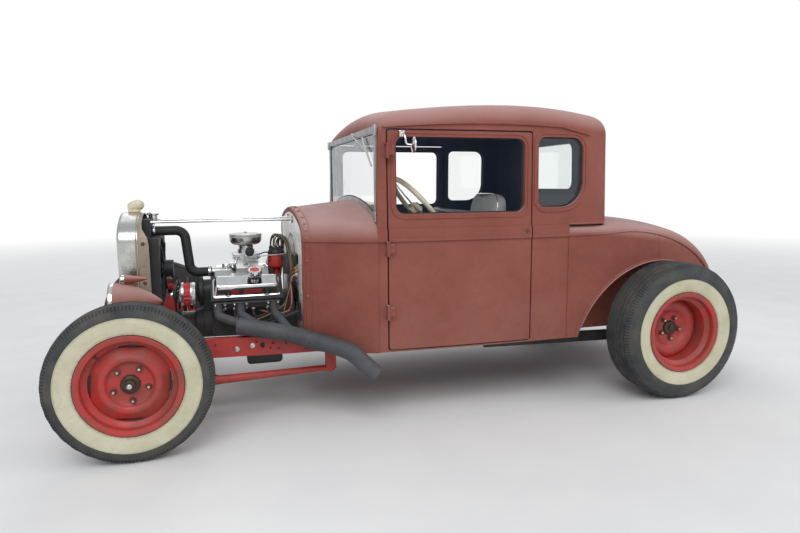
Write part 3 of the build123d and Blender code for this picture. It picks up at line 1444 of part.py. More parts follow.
with BuildPart() as radiator:
    with Locations((back(rad_rear - 45), 0, (rad_low_z + 880) / 2)):
        Box(90, 2 * (rad_half - 12), 880 - rad_low_z)
    for s in (1, -1):
        with Locations((back(rad_rear - 45), s * (rad_half - 6), (rad_low_z + 870) / 2)):
            Box(90, 20, 870 - rad_low_z)
    with Locations((back(rad_rear - 35), 0, 918)):
        Box(70, 2 * 112, 80)
    with BuildSketch(Plane.YZ.offset(back(rad_rear + 30))):
        with Locations((hose_y, 898)):
            Circle(hose_r - 4)
    extrude(amount=40)
    with Locations((back(rad_rear + shroud_d / 2), 0, fan_z)):
        Box(shroud_d, 370, 340)
    with BuildSketch(Plane.YZ.offset(back(rad_rear + shroud_d))):
        with Locations((0, fan_z)):
            Circle(fan_opening_r)
    extrude(amount=shroud_d, mode=Mode.SUBTRACT)
    with BuildSketch(Plane.YZ.offset(back(rad_rear + shroud_d + 8))):
        with Locations((0, fan_z)):
            with PolarLocations(fan_opening_r / 2, 4, start_angle=45):
                Rectangle(fan_opening_r + 24, 14)
            Circle(46)
    extrude(amount=8)
    with BuildSketch(Plane.YZ.offset(back(rad_rear + shroud_d + 50))):
        with Locations((0, fan_z)):
            Circle(44)
    extrude(amount=45)
    with BuildSketch(Plane.YZ.offset(back(rad_rear + shroud_d + 2))):
        with Locations((0, fan_z)):
            Circle(8)
    extrude(amount=26)
finish(radiator, "radiator")

with BuildPart() as fan:
    with BuildSketch(Plane.YZ.offset(back(rad_rear + shroud_d - 6))):
        with Locations((0, fan_z)):
            Circle(36)
            Circle(8 + run_gap, mode=Mode.SUBTRACT)
    extrude(amount=20)
    for i in range(6):
        a = radians(60 * i)
        out = Vector(0, cos(a), sin(a))
        with BuildSketch(Plane(origin=Vector(back(rad_rear + shroud_d - 16), 0, fan_z) + out * 30, z_dir=out,
                               x_dir=Vector(0.5, 0, 0) + Vector(0, -sin(a), cos(a)) * 0.866)):
            Rectangle(44, 3)
        extrude(amount=fan_r - 30)
finish(fan, "fan")

hose_points = ((rad_rear + seat_gap, 898), (200, 898), (222, neck_z), (hose_end, neck_z))
with BuildPart() as upper_hose:
    with BuildLine() as hose:
        FilletPolyline(*[(back(x), hose_y, z) for x, z in hose_points], radius=[46, 46])
    with BuildSketch(Plane(origin=hose.line @ 0, z_dir=hose.line % 0)):
        Circle(hose_r)
    sweep(path=hose.line)
    with BuildSketch(Plane(origin=hose.line @ 0, z_dir=hose.line % 0)):
        Circle(hose_r - 4 + seat_gap)
    extrude(amount=31, mode=Mode.SUBTRACT)
    with BuildSketch(Plane(origin=hose.line @ 1, z_dir=-(hose.line % 1))):
        Circle(hose_r - 4 + seat_gap)
    extrude(amount=22, mode=Mode.SUBTRACT)
finish(upper_hose, "upper_hose")

cap_disc_r = 27.0
cap_disc_t = 6.0
cap_back = -36.0
cap_base_z = shell_top_z + seat_gap
skull_r = 27.0               # brain case
skull_back = -14.0
skull_z = cap_base_z + cap_disc_t + 30
brow = skull_back - 14
face_len = 36.0
socket_r = 9.0
with BuildPart() as radiator_cap:
    with BuildSketch(Plane.XY.offset(cap_base_z)):
        with Locations((back(cap_back), 0)):
            Circle(cap_disc_r)
    extrude(amount=cap_disc_t)
    with BuildSketch(Plane.YZ.offset(back(brow))):
        with Locations((0, skull_z + 1)):
            RectangleRounded(46, 44, 20)
    with BuildSketch(Plane.YZ.offset(back(brow - face_len / 2))):
        with Locations((0, skull_z - 3)):
            RectangleRounded(40, 40, 14)
    with BuildSketch(Plane.YZ.offset(back(brow - face_len))):
        with Locations((0, skull_z - 9)):
            RectangleRounded(26, 26, 8)
    loft()
    with Locations((back(skull_back), 0, skull_z)):
        Sphere(skull_r)
    with BuildSketch(Plane.XZ.offset(-15)):
        Polygon((back(skull_back + 8), cap_base_z + cap_disc_t),
                (back(brow - face_len + 2), cap_base_z + cap_disc_t),
                (back(brow - face_len), skull_z - 18), (back(skull_back + 6), skull_z - 12), align=None)
    extrude(amount=30)
    for s in (1, -1):
        with Locations((back(brow - face_len / 2 - 10), s * 13, skull_z + 8)):
            Sphere(socket_r, mode=Mode.SUBTRACT)
    with BuildSketch(Plane.YZ.offset(back(brow - face_len + 6))):
        Polygon((-5, skull_z - 12), (5, skull_z - 12), (0, skull_z + 1), align=None)
    extrude(amount=20, mode=Mode.SUBTRACT)
    with Locations((back(brow - face_len + 3), 0, skull_z - 19)):
        Box(10, 40, 1.5, mode=Mode.SUBTRACT)
    with Locations((back(brow - face_len), 0, skull_z - 19)):
        with GridLocations(1, 6, 1, 4):
            Box(4, 1, 9, mode=Mode.SUBTRACT)
finish(radiator_cap, "radiator_cap")

rod_r = 6.0
rod_foot_r = 20.0
rod_foot_t = 6.0
rod_end = fire_back - rib_r - seat_gap
with BuildPart() as support_rods:
    for s in (1, -1):
        with BuildSketch(Plane.YZ.offset(back(rod_end))):
            with Locations((s * rod_y, rod_z)):
                Circle(rod_r)
        extrude(amount=rod_end - rad_rear - seat_gap)
        with BuildSketch(Plane.YZ.offset(back(rod_end))):
            with Locations((s * rod_y, rod_z)):
                Circle(rod_foot_r)
        extrude(amount=rod_foot_t)
        with Locations((back(rad_rear + seat_gap + 25), s * rod_y, rod_z)):
            Box(50, 22, 5)
finish(support_rods, "support_rods")

with BuildPart() as tail_lamps:
    for s in (1, -1):
        with BuildSketch(Plane.YZ.offset(back(tail_reach - 1))):
            with Locations((s * 240, 500)):
                Circle(36)
        extrude(amount=70)
    add(tail_outer, mode=Mode.SUBTRACT)
finish(tail_lamps, "tail_lamps")

with BuildPart() as mirror:
    with BuildLine() as arm:
        FilletPolyline((back(1182), side_y - 12, 1352), (back(1182), side_y + 30, 1352),
                       (back(1186), side_y + 48, 1300), (back(1214), side_y + 58, 1299), radius=10)
    with BuildSketch(Plane(origin=arm.line @ 0, z_dir=arm.line % 0)):
        Circle(4.5)
    sweep(path=arm.line)
    with BuildSketch(Plane.YZ.offset(back(1222))):
        with Locations((side_y + 58, 1299)):
            Circle(36)
    extrude(amount=10)
    with Locations((back(1182), side_y - 14, 1352)):
        Box(34, 34, 24)
    add(shell.part, mode=Mode.SUBTRACT)
finish(mirror, "mirror")
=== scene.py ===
import bmesh
import bpy
import json
from math import atan2, copysign, cos, exp, pi, radians, sin, sqrt
from mathutils import Matrix, Vector


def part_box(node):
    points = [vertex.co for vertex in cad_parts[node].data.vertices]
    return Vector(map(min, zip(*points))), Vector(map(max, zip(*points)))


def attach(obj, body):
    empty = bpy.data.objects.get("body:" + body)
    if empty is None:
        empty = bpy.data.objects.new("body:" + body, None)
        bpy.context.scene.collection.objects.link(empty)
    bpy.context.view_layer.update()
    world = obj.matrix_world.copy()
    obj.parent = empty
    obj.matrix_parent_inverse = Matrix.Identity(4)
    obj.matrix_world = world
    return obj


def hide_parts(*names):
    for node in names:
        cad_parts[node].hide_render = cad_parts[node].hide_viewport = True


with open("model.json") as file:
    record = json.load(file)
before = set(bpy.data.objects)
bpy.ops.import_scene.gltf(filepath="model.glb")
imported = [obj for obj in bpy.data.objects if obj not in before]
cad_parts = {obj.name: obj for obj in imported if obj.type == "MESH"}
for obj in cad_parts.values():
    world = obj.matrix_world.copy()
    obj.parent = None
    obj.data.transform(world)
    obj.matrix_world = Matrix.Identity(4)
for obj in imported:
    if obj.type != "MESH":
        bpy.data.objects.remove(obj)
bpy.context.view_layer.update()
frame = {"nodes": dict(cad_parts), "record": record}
scene = bpy.context.scene
scene.view_settings.view_transform = "Standard"

# Driving dimension: everything is placed from the front axle of the frame
FRONT_X = (sum(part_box("tyre_front_left"), Vector()) / 2).x
SIDES = ((1, "left"), (-1, "right"))
FORWARD = (1, 0, 0)
BACKWARD = (-1, 0, 0)
UP = (0, 0, 1)
DOWN = (0, 0, -1)


def at(d, y, z):
    """Point in millimetres: behind the front axle, to the car's left, above the ground."""
    return Vector((FRONT_X - d / 1000, y / 1000, z / 1000))


# Materials of the scene, kept by name
MATS = {}


# Mesh helpers: rows and rings are in millimetres, blocks and prisms in metres
def mounted(ob, body, place=None):
    """The object linked to the scene and riding on a body."""
    scene.collection.objects.link(ob)
    if place:
        ob.matrix_world = place
    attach(ob, body)
    return ob


def piece(name, verts, faces, mats, body="chassis", slot=None, which=None, place=None, sharp=35):
    """Mesh of one or more materials; which gives the material of each face."""
    mats = (mats,) if isinstance(mats, str) else mats
    mesh = bpy.data.meshes.new(name)
    mesh.from_pydata([tuple(v) for v in verts], [], faces)
    for m in mats:
        mesh.materials.append(MATS[m])
    if which:
        mesh.polygons.foreach_set("material_index", which)
    bm = bmesh.new()
    bm.from_mesh(mesh)
    bmesh.ops.remove_doubles(bm, verts=bm.verts, dist=1e-6)
    bmesh.ops.dissolve_degenerate(bm, edges=bm.edges, dist=1e-6)
    bmesh.ops.recalc_face_normals(bm, faces=bm.faces)
    bm.to_mesh(mesh)
    bm.free()
    mesh.shade_smooth()
    mesh.set_sharp_from_angle(angle=radians(sharp))
    return mounted(bpy.data.objects.new(name, mesh), body, place)


def group(name, parts, mat, **more):
    """Several blocks and prisms as one piece."""
    verts = []
    faces = []
    for vs, fs in parts:
        base = len(verts)
        verts += [Vector(v) for v in vs]
        faces += [tuple(base + i for i in f) for f in fs]
    return piece(name, verts, faces, mat, **more)


def facing(origin, axis, spin=0.0):
    """Placement whose local Z runs along the axis."""
    turn = Vector(axis).to_track_quat("Z", "Y").to_matrix().to_4x4()
    return Matrix.Translation(origin) @ turn @ tilt(spin, "Z")


def axes(origin, x, y, z):
    """Placement from an origin and three directions."""
    m = Matrix((x, y, z)).transposed().to_4x4()
    m.translation = origin
    return m


def ring(count, lead=0.0):
    """Evenly spaced angles of a full turn."""
    return [2 * pi * (i + lead) / count for i in range(count)]


def web(rows, count, loop=False):
    """Faces between neighbouring rows of points."""
    faces = []
    for i in range(rows if loop else rows - 1):
        j = (i + 1) % rows
        for k in range(count):
            n = (k + 1) % count
            faces.append((i * count + k, i * count + n, j * count + n, j * count + k))
    return faces


def bands(rows, size, count):
    """Material index of each face of a web; a row may end with the index of the band after it."""
    return [row[size] if len(row) > size else 0 for row in rows for _ in range(count)]


def lathe(name, rows, mats, origin, axis, body="chassis", steps=64, slot=None, shape=None, loop=False,
        sharp=35):
    """Turned piece. A row is radius, height and material index; shape may move single points."""
    verts = []
    for i, row in enumerate(rows):
        for k, t in enumerate(ring(steps)):
            r, h = shape(i, k, t, row[0], row[1]) if shape else row[:2]
            verts.append((r * cos(t) / 1000, r * sin(t) / 1000, h / 1000))
    which = bands(rows if loop else rows[:-1], 2, steps)
    faces = web(len(rows), steps, loop)
    return piece(name, verts, faces, mats, body, slot, which, facing(origin, axis), sharp)


def rounded(h, a, b, r, count, lead=0.5):
    """Rounded rectangle at a height: half length, half width and corner radius."""
    r = min(r, a, b)
    points = []
    for t in ring(count, lead):
        c, s = cos(t), sin(t)
        points.append(((copysign(a - r, c) + r * c) / 1000, (copysign(b - r, s) + r * s) / 1000, h / 1000))
    return points


def stack(name, rings, mats, place, body="chassis", count=48):
    """Stacked rounded rectangles: height, half length, half width, corner radius, material index."""
    verts = [p for row in rings for p in rounded(*row[:4], count)]
    last = (len(rings) - 1) * count
    faces = [tuple(reversed(range(count)))] + web(len(rings), count) + [tuple(range(last, last + count))]
    which = bands(rings[:1], 4, 1) + bands(rings[:-1], 4, count) + bands(rings[-1:], 4, 1)
    return piece(name, verts, faces, mats, body, None, which, place, 30)


def prism(sides, r, h, origin, axis, top=1.0, spin=0.0):
    """Bolt head or stud: a prism that starts at the origin and tapers to its top."""
    m = facing(origin, axis, spin)
    verts = []
    for radius, height in ((r, 0), (r, h * 0.75), (r * top, h)):
        verts += [m @ Vector((radius * cos(t), radius * sin(t), height)) for t in ring(sides)]
    faces = [tuple(range(2 * sides, 3 * sides)), tuple(reversed(range(sides)))]
    for i in range(sides):
        n = (i + 1) % sides
        faces.append((i, n, sides + n, sides + i))
        faces.append((sides + i, sides + n, 2 * sides + n, 2 * sides + i))
    return verts, faces


def bolts(name, spots, mat, body="chassis", r=0.006, h=0.005, sides=6, top=0.8):
    """Bolt heads with washers, each at a point with an axis."""
    parts = []
    for i, (p, axis) in enumerate(spots):
        parts.append(prism(16, r * 1.5, h * 0.25, p, axis, 0.95))
        parts.append(prism(sides, r, h, p + Vector(axis).normalized() * h * 0.2, axis, top, i * 1.3))
    return group(name, parts, mat, body=body)


def tilt(angle, axis):
    """Turn about one axis."""
    return Matrix.Rotation(angle, 4, axis)


def block(centre, size, bevel=0.0, turn=None):
    """Box with chamfered edges."""
    bm = bmesh.new()
    bmesh.ops.create_cube(bm, size=1.0)
    for v in bm.verts:
        v.co = Vector(a * b for a, b in zip(v.co, size))
    if bevel:
        bmesh.ops.bevel(bm, geom=bm.edges[:], offset=bevel, segments=2, profile=0.5, affect="EDGES")
    m = Matrix.Translation(centre) @ (turn or Matrix.Identity(4))
    bm.verts.index_update()
    verts = [m @ v.co for v in bm.verts]
    faces = [tuple(v.index for v in f.verts) for f in bm.faces]
    bm.free()
    return verts, faces


def curve(name, points, r, mat, body="chassis", closed=False, poly=False):
    """Round bar or tube along a smooth line, or along straight pieces."""
    data = bpy.data.curves.new(name, "CURVE")
    data.dimensions = "3D"
    data.bevel_depth = r
    data.bevel_resolution = 4
    data.use_fill_caps = True
    data.resolution_u = 12
    spline = data.splines.new("POLY" if poly else "NURBS")
    spline.points.add(len(points) - 1)
    for p, q in zip(spline.points, points):
        p.co = (*q, 1)
    spline.use_cyclic_u = closed
    if not poly:
        spline.order_u = 3
        spline.use_endpoint_u = not closed
    data.materials.append(MATS[mat])
    return mounted(bpy.data.objects.new(name, data), body)


def on_skin(node, origin, direction):
    """Where a ray first meets a CAD node: point and outward normal, or nothing."""
    d = Vector(direction).normalized()
    hit, point, normal, _ = frame["nodes"][node].ray_cast(origin, d)
    return (point, -normal if normal.dot(d) > 0 else normal) if hit else None


# Camera at the photograph's viewpoint, as fitted to the two near wheels
CAMERA_PLACE = (1.1131, 3.3529, 1.1213)
CAMERA_TURN = (0.289, 0.1325, -0.0056)
FOCAL_PIXELS = 612.54


def aim_camera():
    """Camera from its place, its yaw, pitch and roll and its focal length in the photograph's pixels."""
    yaw, pitch, roll = CAMERA_TURN
    look = Vector((-sin(yaw) * cos(pitch), -cos(yaw) * cos(pitch), -sin(pitch)))
    right = Vector((-cos(yaw), sin(yaw), 0.0))
    up = right.cross(look)
    right, up = (cos(roll) * right + sin(roll) * up, cos(roll) * up - sin(roll) * right)
    data = bpy.data.cameras.new("camera")
    data.sensor_width = 36.0
    data.lens = FOCAL_PIXELS / 800 * 36.0
    data.clip_end = 200.0
    cam = bpy.data.objects.new("camera", data)
    scene.collection.objects.link(cam)
    cam.matrix_world = Matrix.Translation(CAMERA_PLACE) @ Matrix((right, up, -look)).transposed().to_4x4()
    scene.camera = cam


aim_camera()


# Node graph helper; a finished material is kept in MATS under its name
class Graph:
    def __init__(self, name):
        self.name = name
        self.mat = bpy.data.materials.new(name)
        self.mat.use_nodes = True
        self.nt = self.mat.node_tree
        self.nt.nodes.clear()
        self.out = self.add("ShaderNodeOutputMaterial")
        self.coord = self.add("ShaderNodeTexCoord").outputs["Object"]

    def add(self, kind, **props):
        n = self.nt.nodes.new(kind)
        for k, v in props.items():
            setattr(n, k, v)
        return n

    def put(self, socket, value):
        if isinstance(value, bpy.types.NodeSocket):
            self.nt.links.new(value, socket)
        elif isinstance(value, (tuple, list)) and len(value) == 3 and socket.type == "RGBA":
            socket.default_value = (*value, 1.0)
        else:
            socket.default_value = value

    def noise(self, scale, detail=4.0, rough=0.55, stretch=None, distort=0.0):
        v = self.coord
        if stretch:
            m = self.add("ShaderNodeMapping")
            self.put(m.inputs["Vector"], v)
            m.inputs["Scale"].default_value = stretch
            v = m.outputs["Vector"]
        n = self.add("ShaderNodeTexNoise")
        self.put(n.inputs["Vector"], v)
        for k, v in (("Scale", scale), ("Detail", detail), ("Roughness", rough), ("Distortion", distort)):
            n.inputs[k].default_value = v
        return n.outputs["Fac"]

    def ramp(self, fac, lo, hi, a=0.0, b=1.0):
        m = self.add("ShaderNodeMapRange", clamp=True)
        self.put(m.inputs["Value"], fac)
        for k, v in (("From Min", lo), ("From Max", hi), ("To Min", a), ("To Max", b)):
            m.inputs[k].default_value = v
        return m.outputs["Result"]

    def math(self, op, a, b=0.0):
        m = self.add("ShaderNodeMath", operation=op)
        self.put(m.inputs[0], a)
        self.put(m.inputs[1], b)
        return m.outputs[0]

    def vector(self, op, a, b=None, out=0):
        m = self.add("ShaderNodeVectorMath", operation=op)
        self.put(m.inputs[0], a)
        if b:
            self.put(m.inputs[1], b)
        return m.outputs[out]

    def mix(self, fac, a, b):
        m = self.add("ShaderNodeMix", data_type="RGBA")
        self.put(m.inputs["Factor"], fac)
        self.put(m.inputs[6], a)
        self.put(m.inputs[7], b)
        return m.outputs[2]

    def axis(self, k, source=None):
        s = self.add("ShaderNodeSeparateXYZ")
        self.put(s.inputs[0], source or self.coord)
        return s.outputs[k]

    def bump(self, height, strength, distance=0.001, normal=None):
        b = self.add("ShaderNodeBump")
        self.put(b.inputs["Height"], height)
        b.inputs["Strength"].default_value = strength
        b.inputs["Distance"].default_value = distance
        if normal:
            self.put(b.inputs["Normal"], normal)
        return b.outputs["Normal"]

    def shade(self, color, rough, normal=None, **fixed):
        s = self.add("ShaderNodeBsdfPrincipled")
        self.put(s.inputs["Base Color"], color)
        self.put(s.inputs["Roughness"], rough)
        if normal:
            self.put(s.inputs["Normal"], normal)
        for k, v in fixed.items():
            self.put(s.inputs[k.replace("_", " ")], v)
        self.put(self.out.inputs["Surface"], s.outputs[0])
        MATS[self.name] = self.mat


def srgb(r, g, b):
    """Linear colour from 0 to 255 values."""
    def lin(v):
        v /= 255
        return v / 12.92 if v <= 0.04045 else ((v + 0.055) / 1.055) ** 2.4
    return lin(r), lin(g), lin(b)


# Paint: cloudy tone, fine specks, dirt that rises from below, a painted sky sheen on level faces and a slight
# orange peel
# Colour of the painted sky sheen on level faces, with some dust
SKY_SHEEN_AND_DUST = srgb(186, 154, 150)


def paint_tone(g, base, light, dark, spots):
    """Colour with clouds of the light tone, specks of the dark one and a fine grain."""
    cloud = g.noise(2.3, 5, 0.6)
    fine = g.noise(38, 4, 0.6)
    grain = g.noise(420, 2, 0.5)
    col = g.mix(g.ramp(cloud, 0.35, 0.7), srgb(*base), srgb(*light))
    col = g.mix(g.ramp(fine, 0.52, 0.78, 0, spots), col, srgb(*dark))
    return g.mix(g.ramp(grain, 0.55, 0.75, 0, 0.12), col, srgb(*light))


def sky_sheen_and_dust(g, col):
    """Painted sky sheen, with some dust: level faces of the primer are paler, as the light from above falls
    on them.
    """
    level = g.ramp(g.axis(2, g.add("ShaderNodeNewGeometry").outputs["Normal"]), 0.05, 0.85)
    cloud = g.ramp(g.noise(3.1, 5, 0.6), 0.2, 0.7, 0.55, 0.8)
    return g.mix(g.math("MULTIPLY", level, cloud), col, SKY_SHEEN_AND_DUST)


def dirt(g, col, grime, foot, top, share):
    """Patches of dirt that thin out from the foot to the top height, in metres."""
    low = g.ramp(g.axis(2), foot, top, 1, 0)
    patch = g.math("MULTIPLY", low, g.ramp(g.noise(9, 6, 0.7), 0.38, 0.68))
    return g.mix(g.math("MULTIPLY", patch, share), col, srgb(*grime))


def peel(g, strength):
    """Normal of a slight orange peel."""
    n = g.bump(g.noise(160, 3, 0.5), strength, 0.0006)
    return g.bump(g.noise(11, 2, 0.5), strength, 0.004, n)


def painted(name, base, light, dark, rough=(0.5, 0.7), grime=None, grime_top=0.5, bumpy=0.12, spots=0.25,
        sheen_and_dust=False, **fixed):
    """Paint from three colours in 0 to 255 values."""
    g = Graph(name)
    col = paint_tone(g, base, light, dark, spots)
    # Painted sky sheen, with some dust, on level faces
    if sheen_and_dust:
        col = sky_sheen_and_dust(g, col)
    if grime:
        col = dirt(g, col, grime, 0.16, grime_top, 0.75)
    r = g.ramp(g.noise(14, 4, 0.6), 0.3, 0.7, *rough)
    g.shade(col, r, peel(g, bumpy), **fixed)


def metal(name, base, dull, rough, streak=(1, 1, 1), spots=0.3, bumpy=0.05):
    """Plated or bare metal with a patchy haze, fine scratches and small pits, from two linear colours."""
    g = Graph(name)
    haze = g.noise(12, 5, 0.6)
    line = g.noise(90, 3, 0.6, stretch=streak)
    pits = g.noise(260, 2, 0.5)
    col = g.mix(g.ramp(haze, 0.42, 0.75, 0, 0.6), base, dull)
    col = g.mix(g.ramp(pits, 0.62, 0.72, 0, spots), col, dull)
    r = g.math("ADD", g.ramp(haze, 0.3, 0.75, *rough), g.ramp(line, 0.4, 0.8, 0, 0.12))
    g.shade(col, r, g.bump(line, bumpy, 0.0005), Metallic=1.0)


def vinyl(name, base, light, rough=(0.42, 0.6)):
    """Leather cloth: fine pebble grain with soft creases and rubbed high spots."""
    g = Graph(name)
    cells = g.add("ShaderNodeTexVoronoi", feature="SMOOTH_F1")
    g.put(cells.inputs["Vector"], g.coord)
    cells.inputs["Scale"].default_value = 520
    crease = g.noise(26, 5, 0.6, distort=0.6)
    col = g.mix(g.ramp(crease, 0.4, 0.72), srgb(*base), srgb(*light))
    worn = tuple(0.6 * c for c in srgb(*base))
    col = g.mix(g.ramp(g.noise(4, 4, 0.6), 0.45, 0.75, 0, 0.5), col, worn)
    n = g.bump(cells.outputs["Distance"], 0.25, 0.0006)
    g.shade(col, g.ramp(crease, 0.3, 0.7, *rough), g.bump(crease, 0.2, 0.003, n))


def clear_glass():
    g = Graph("glass")
    smear = g.ramp(g.noise(6, 5, 0.65), 0.45, 0.8, 0.0, 0.12)
    g.shade((0.93, 0.96, 0.95), smear, Transmission_Weight=1.0, IOR=1.45)


def whitewall():
    """White rubber that is dirty next to the rim and at the edge of the band."""
    g = Graph("whitewall")
    stain = g.noise(7, 6, 0.65)
    fine = g.noise(90, 4, 0.6)
    col = g.mix(g.ramp(stain, 0.4, 0.7), srgb(206, 202, 178), srgb(190, 184, 154))
    col = g.mix(g.ramp(fine, 0.55, 0.8, 0, 0.35), col, srgb(158, 150, 122))
    reach = g.vector("LENGTH", g.vector("MULTIPLY", g.coord, (1, 1, 0)), out="Value")
    rim_dirt = g.ramp(reach, 0.209, 0.222, 1, 0)
    edge_dirt = g.ramp(reach, 0.270, 0.279, 0, 0.5)
    smudge = g.math("MULTIPLY", g.math("MAXIMUM", rim_dirt, edge_dirt), g.ramp(fine, 0.3, 0.6, 0.2, 0.7))
    col = g.mix(smudge, col, srgb(120, 104, 84))
    n = g.bump(g.noise(600, 2, 0.5), 0.15, 0.0004)
    g.shade(col, g.ramp(fine, 0.3, 0.7, 0.55, 0.75), n, Specular_IOR_Level=0.35)


# The cab's inner faces look towards the cabin's middle and carry a pale cloth
CABIN_MIDDLE = (FRONT_X - 1.6, 0.0, 1.0)
LINING = srgb(112, 124, 152)
LINING_HALF_WIDTH = 0.612


def lined_primer():
    g = Graph("cab_primer")
    # Painted sky sheen, with some dust, on level faces, as on the primer
    col = sky_sheen_and_dust(g, paint_tone(g, (130, 70, 58), (147, 86, 74), (100, 52, 44), 0.25))
    col = dirt(g, col, (120, 96, 84), 0.3, 0.6, 0.6)
    away = g.vector("SUBTRACT", g.coord, CABIN_MIDDLE)
    outward = g.vector("DOT_PRODUCT", away, g.add("ShaderNodeTexCoord").outputs["Normal"], "Value")
    near = g.math("LESS_THAN", g.math("ABSOLUTE", g.axis(1)), LINING_HALF_WIDTH)
    lined = g.math("MULTIPLY", g.math("LESS_THAN", outward, 0.0), near)
    cloth = g.mix(g.ramp(g.noise(900, 2, 0.5), 0.35, 0.65), LINING, tuple(0.55 * c for c in LINING))
    col = g.mix(lined, col, cloth)
    r = g.math("MAXIMUM", g.ramp(g.noise(14, 4, 0.6), 0.3, 0.7, 0.6, 0.8), g.math("MULTIPLY", lined, 0.9))
    g.shade(col, r, peel(g, 0.06), Specular_IOR_Level=0.35)


# Materials of the record's slots
# The primer gets a painted sky sheen, with some dust, on level faces
painted("primer", (128, 68, 56), (146, 84, 72), (98, 50, 42), (0.62, 0.82), (120, 96, 84), bumpy=0.06,
    sheen_and_dust=True, Specular_IOR_Level=0.35)
painted("frame_paint", (176, 50, 48), (188, 70, 64), (96, 28, 26), (0.4, 0.62), (96, 66, 58), 0.4, spots=0.5)
painted("wheel_paint", (182, 46, 44), (192, 66, 60), (120, 34, 30), (0.34, 0.55), (110, 70, 60), 0.35,
    spots=0.35)
painted("tyre", (52, 55, 58), (70, 73, 75), (34, 35, 37), (0.72, 0.9), (92, 88, 82), 0.2, 0.2,
    Specular_IOR_Level=0.3)
painted("cast", (40, 41, 43), (62, 62, 63), (24, 22, 21), (0.45, 0.7), (66, 58, 50), 0.4, 0.3, 0.6)
painted("exhaust", (74, 76, 80), (98, 98, 100), (52, 46, 42), (0.55, 0.75), bumpy=0.3, spots=0.4,
    Metallic=0.35)
painted("black_plastic", (28, 28, 30), (44, 44, 46), (18, 18, 18), (0.4, 0.6))
painted("hose_rubber", (26, 27, 29), (46, 46, 47), (16, 16, 16), (0.45, 0.65))
painted("upholstery", (36, 38, 46), (52, 54, 62), (22, 22, 28))
painted("cream", (206, 196, 168), (222, 214, 190), (160, 146, 112), (0.3, 0.5))
painted("lamp_red", (140, 14, 14), (170, 24, 20), (90, 8, 8), (0.12, 0.25))
painted("black_metal", (34, 35, 38), (52, 52, 54), (22, 22, 22), (0.5, 0.72), (78, 70, 62), spots=0.5)
metal("bare_metal", (0.5, 0.5, 0.5), (0.3, 0.29, 0.28), (0.35, 0.55), (1, 1, 12))
metal("chrome", (0.8, 0.8, 0.8), (0.5, 0.49, 0.47), (0.05, 0.16))
metal("alloy", (0.62, 0.62, 0.61), (0.36, 0.35, 0.33), (0.18, 0.36), (1, 1, 8))
clear_glass()

# Extra materials
lined_primer()
whitewall()
vinyl("navy_vinyl", (24, 29, 42), (40, 46, 60))
vinyl("grey_vinyl", (196, 198, 194), (210, 211, 206), (0.45, 0.62))
painted("hub_grease", (58, 48, 40), (92, 78, 64), (26, 22, 20), (0.3, 0.6), bumpy=0.5, spots=0.7,
    Metallic=0.5)
painted("nut_dark", (86, 52, 44), (120, 80, 70), (40, 26, 22), (0.4, 0.6), bumpy=0.3, spots=0.6, Metallic=0.4)
painted("fin_metal", (58, 58, 58), (80, 80, 78), (36, 35, 34), (0.4, 0.6), bumpy=0.2, spots=0.5, Metallic=0.6)
painted("flange_metal", (150, 136, 118), (170, 158, 140), (96, 82, 68), (0.45, 0.65), bumpy=0.25, spots=0.6,
    Metallic=0.4)
painted("red_enamel", (186, 32, 34), (204, 56, 52), (110, 20, 20), (0.25, 0.45))
painted("red_moulded", (176, 38, 36), (196, 60, 54), (120, 26, 24), (0.4, 0.55))
painted("wire_red", (190, 50, 46), (212, 84, 74), (120, 30, 28), (0.4, 0.55))
painted("wire_black", (30, 30, 31), (52, 52, 52), (16, 16, 16), (0.45, 0.6))
painted("wire_brown", (112, 84, 58), (140, 112, 80), (70, 50, 34), (0.45, 0.6))
painted("wire_white", (190, 188, 180), (210, 208, 200), (130, 126, 118), (0.45, 0.6))
painted("gasket", (24, 24, 26), (40, 40, 42), (14, 14, 15), (0.6, 0.8))
painted("dial_face", (26, 27, 29), (38, 39, 41), (16, 16, 17), (0.3, 0.45))
painted("dial_mark", (214, 210, 196), (226, 224, 214), (170, 160, 140), (0.4, 0.5))
painted("tail_lens", (150, 10, 12), (176, 20, 20), (96, 6, 8), (0.06, 0.16), bumpy=0.05, Coat_Weight=0.6)
painted("amber_lens", (206, 110, 22), (222, 134, 40), (150, 76, 14), (0.06, 0.16), bumpy=0.05,
    Coat_Weight=0.6)
metal("nut_bright", (0.66, 0.64, 0.6), (0.3, 0.27, 0.22), (0.22, 0.4))
metal("brass", (0.62, 0.44, 0.18), (0.28, 0.2, 0.1), (0.25, 0.45))
metal("mirror_glass", (0.86, 0.88, 0.9), (0.7, 0.72, 0.74), (0.01, 0.04), spots=0.1, bumpy=0.0)
metal("shell_metal", (0.62, 0.62, 0.6), (0.34, 0.33, 0.3), (0.16, 0.34), (1, 1, 14), 0.4, 0.08)

# The CAD nodes get their slot's material, or the one that stands in for it
STAND_INS = {"cab": "cab_primer", "door_left": "cab_primer", "door_right": "cab_primer",
    "grille_shell": "shell_metal", "seat": "navy_vinyl"}
for part in frame["record"]["subparts"]:
    mesh = frame["nodes"][part["node"]].data
    mesh.materials.clear()
    mesh.materials.append(MATS[STAND_INS.get(part["node"], part["material_slot"])])


# Tyres: cross-section rows from the bead round to the other bead, with ribbed shoulders and tread grooves
WALL = 1
BEAD_R = 209.0
TREAD_STEPS = 432
SHOULDER_ROWS = ((18, 12.5), (13, 16), (9, 19.5), (6.5, 24))
GROOVES = (0.93, 0.55, 0.18)
GROOVE_DEPTH = 6.0
ZIGZAG = 1.6


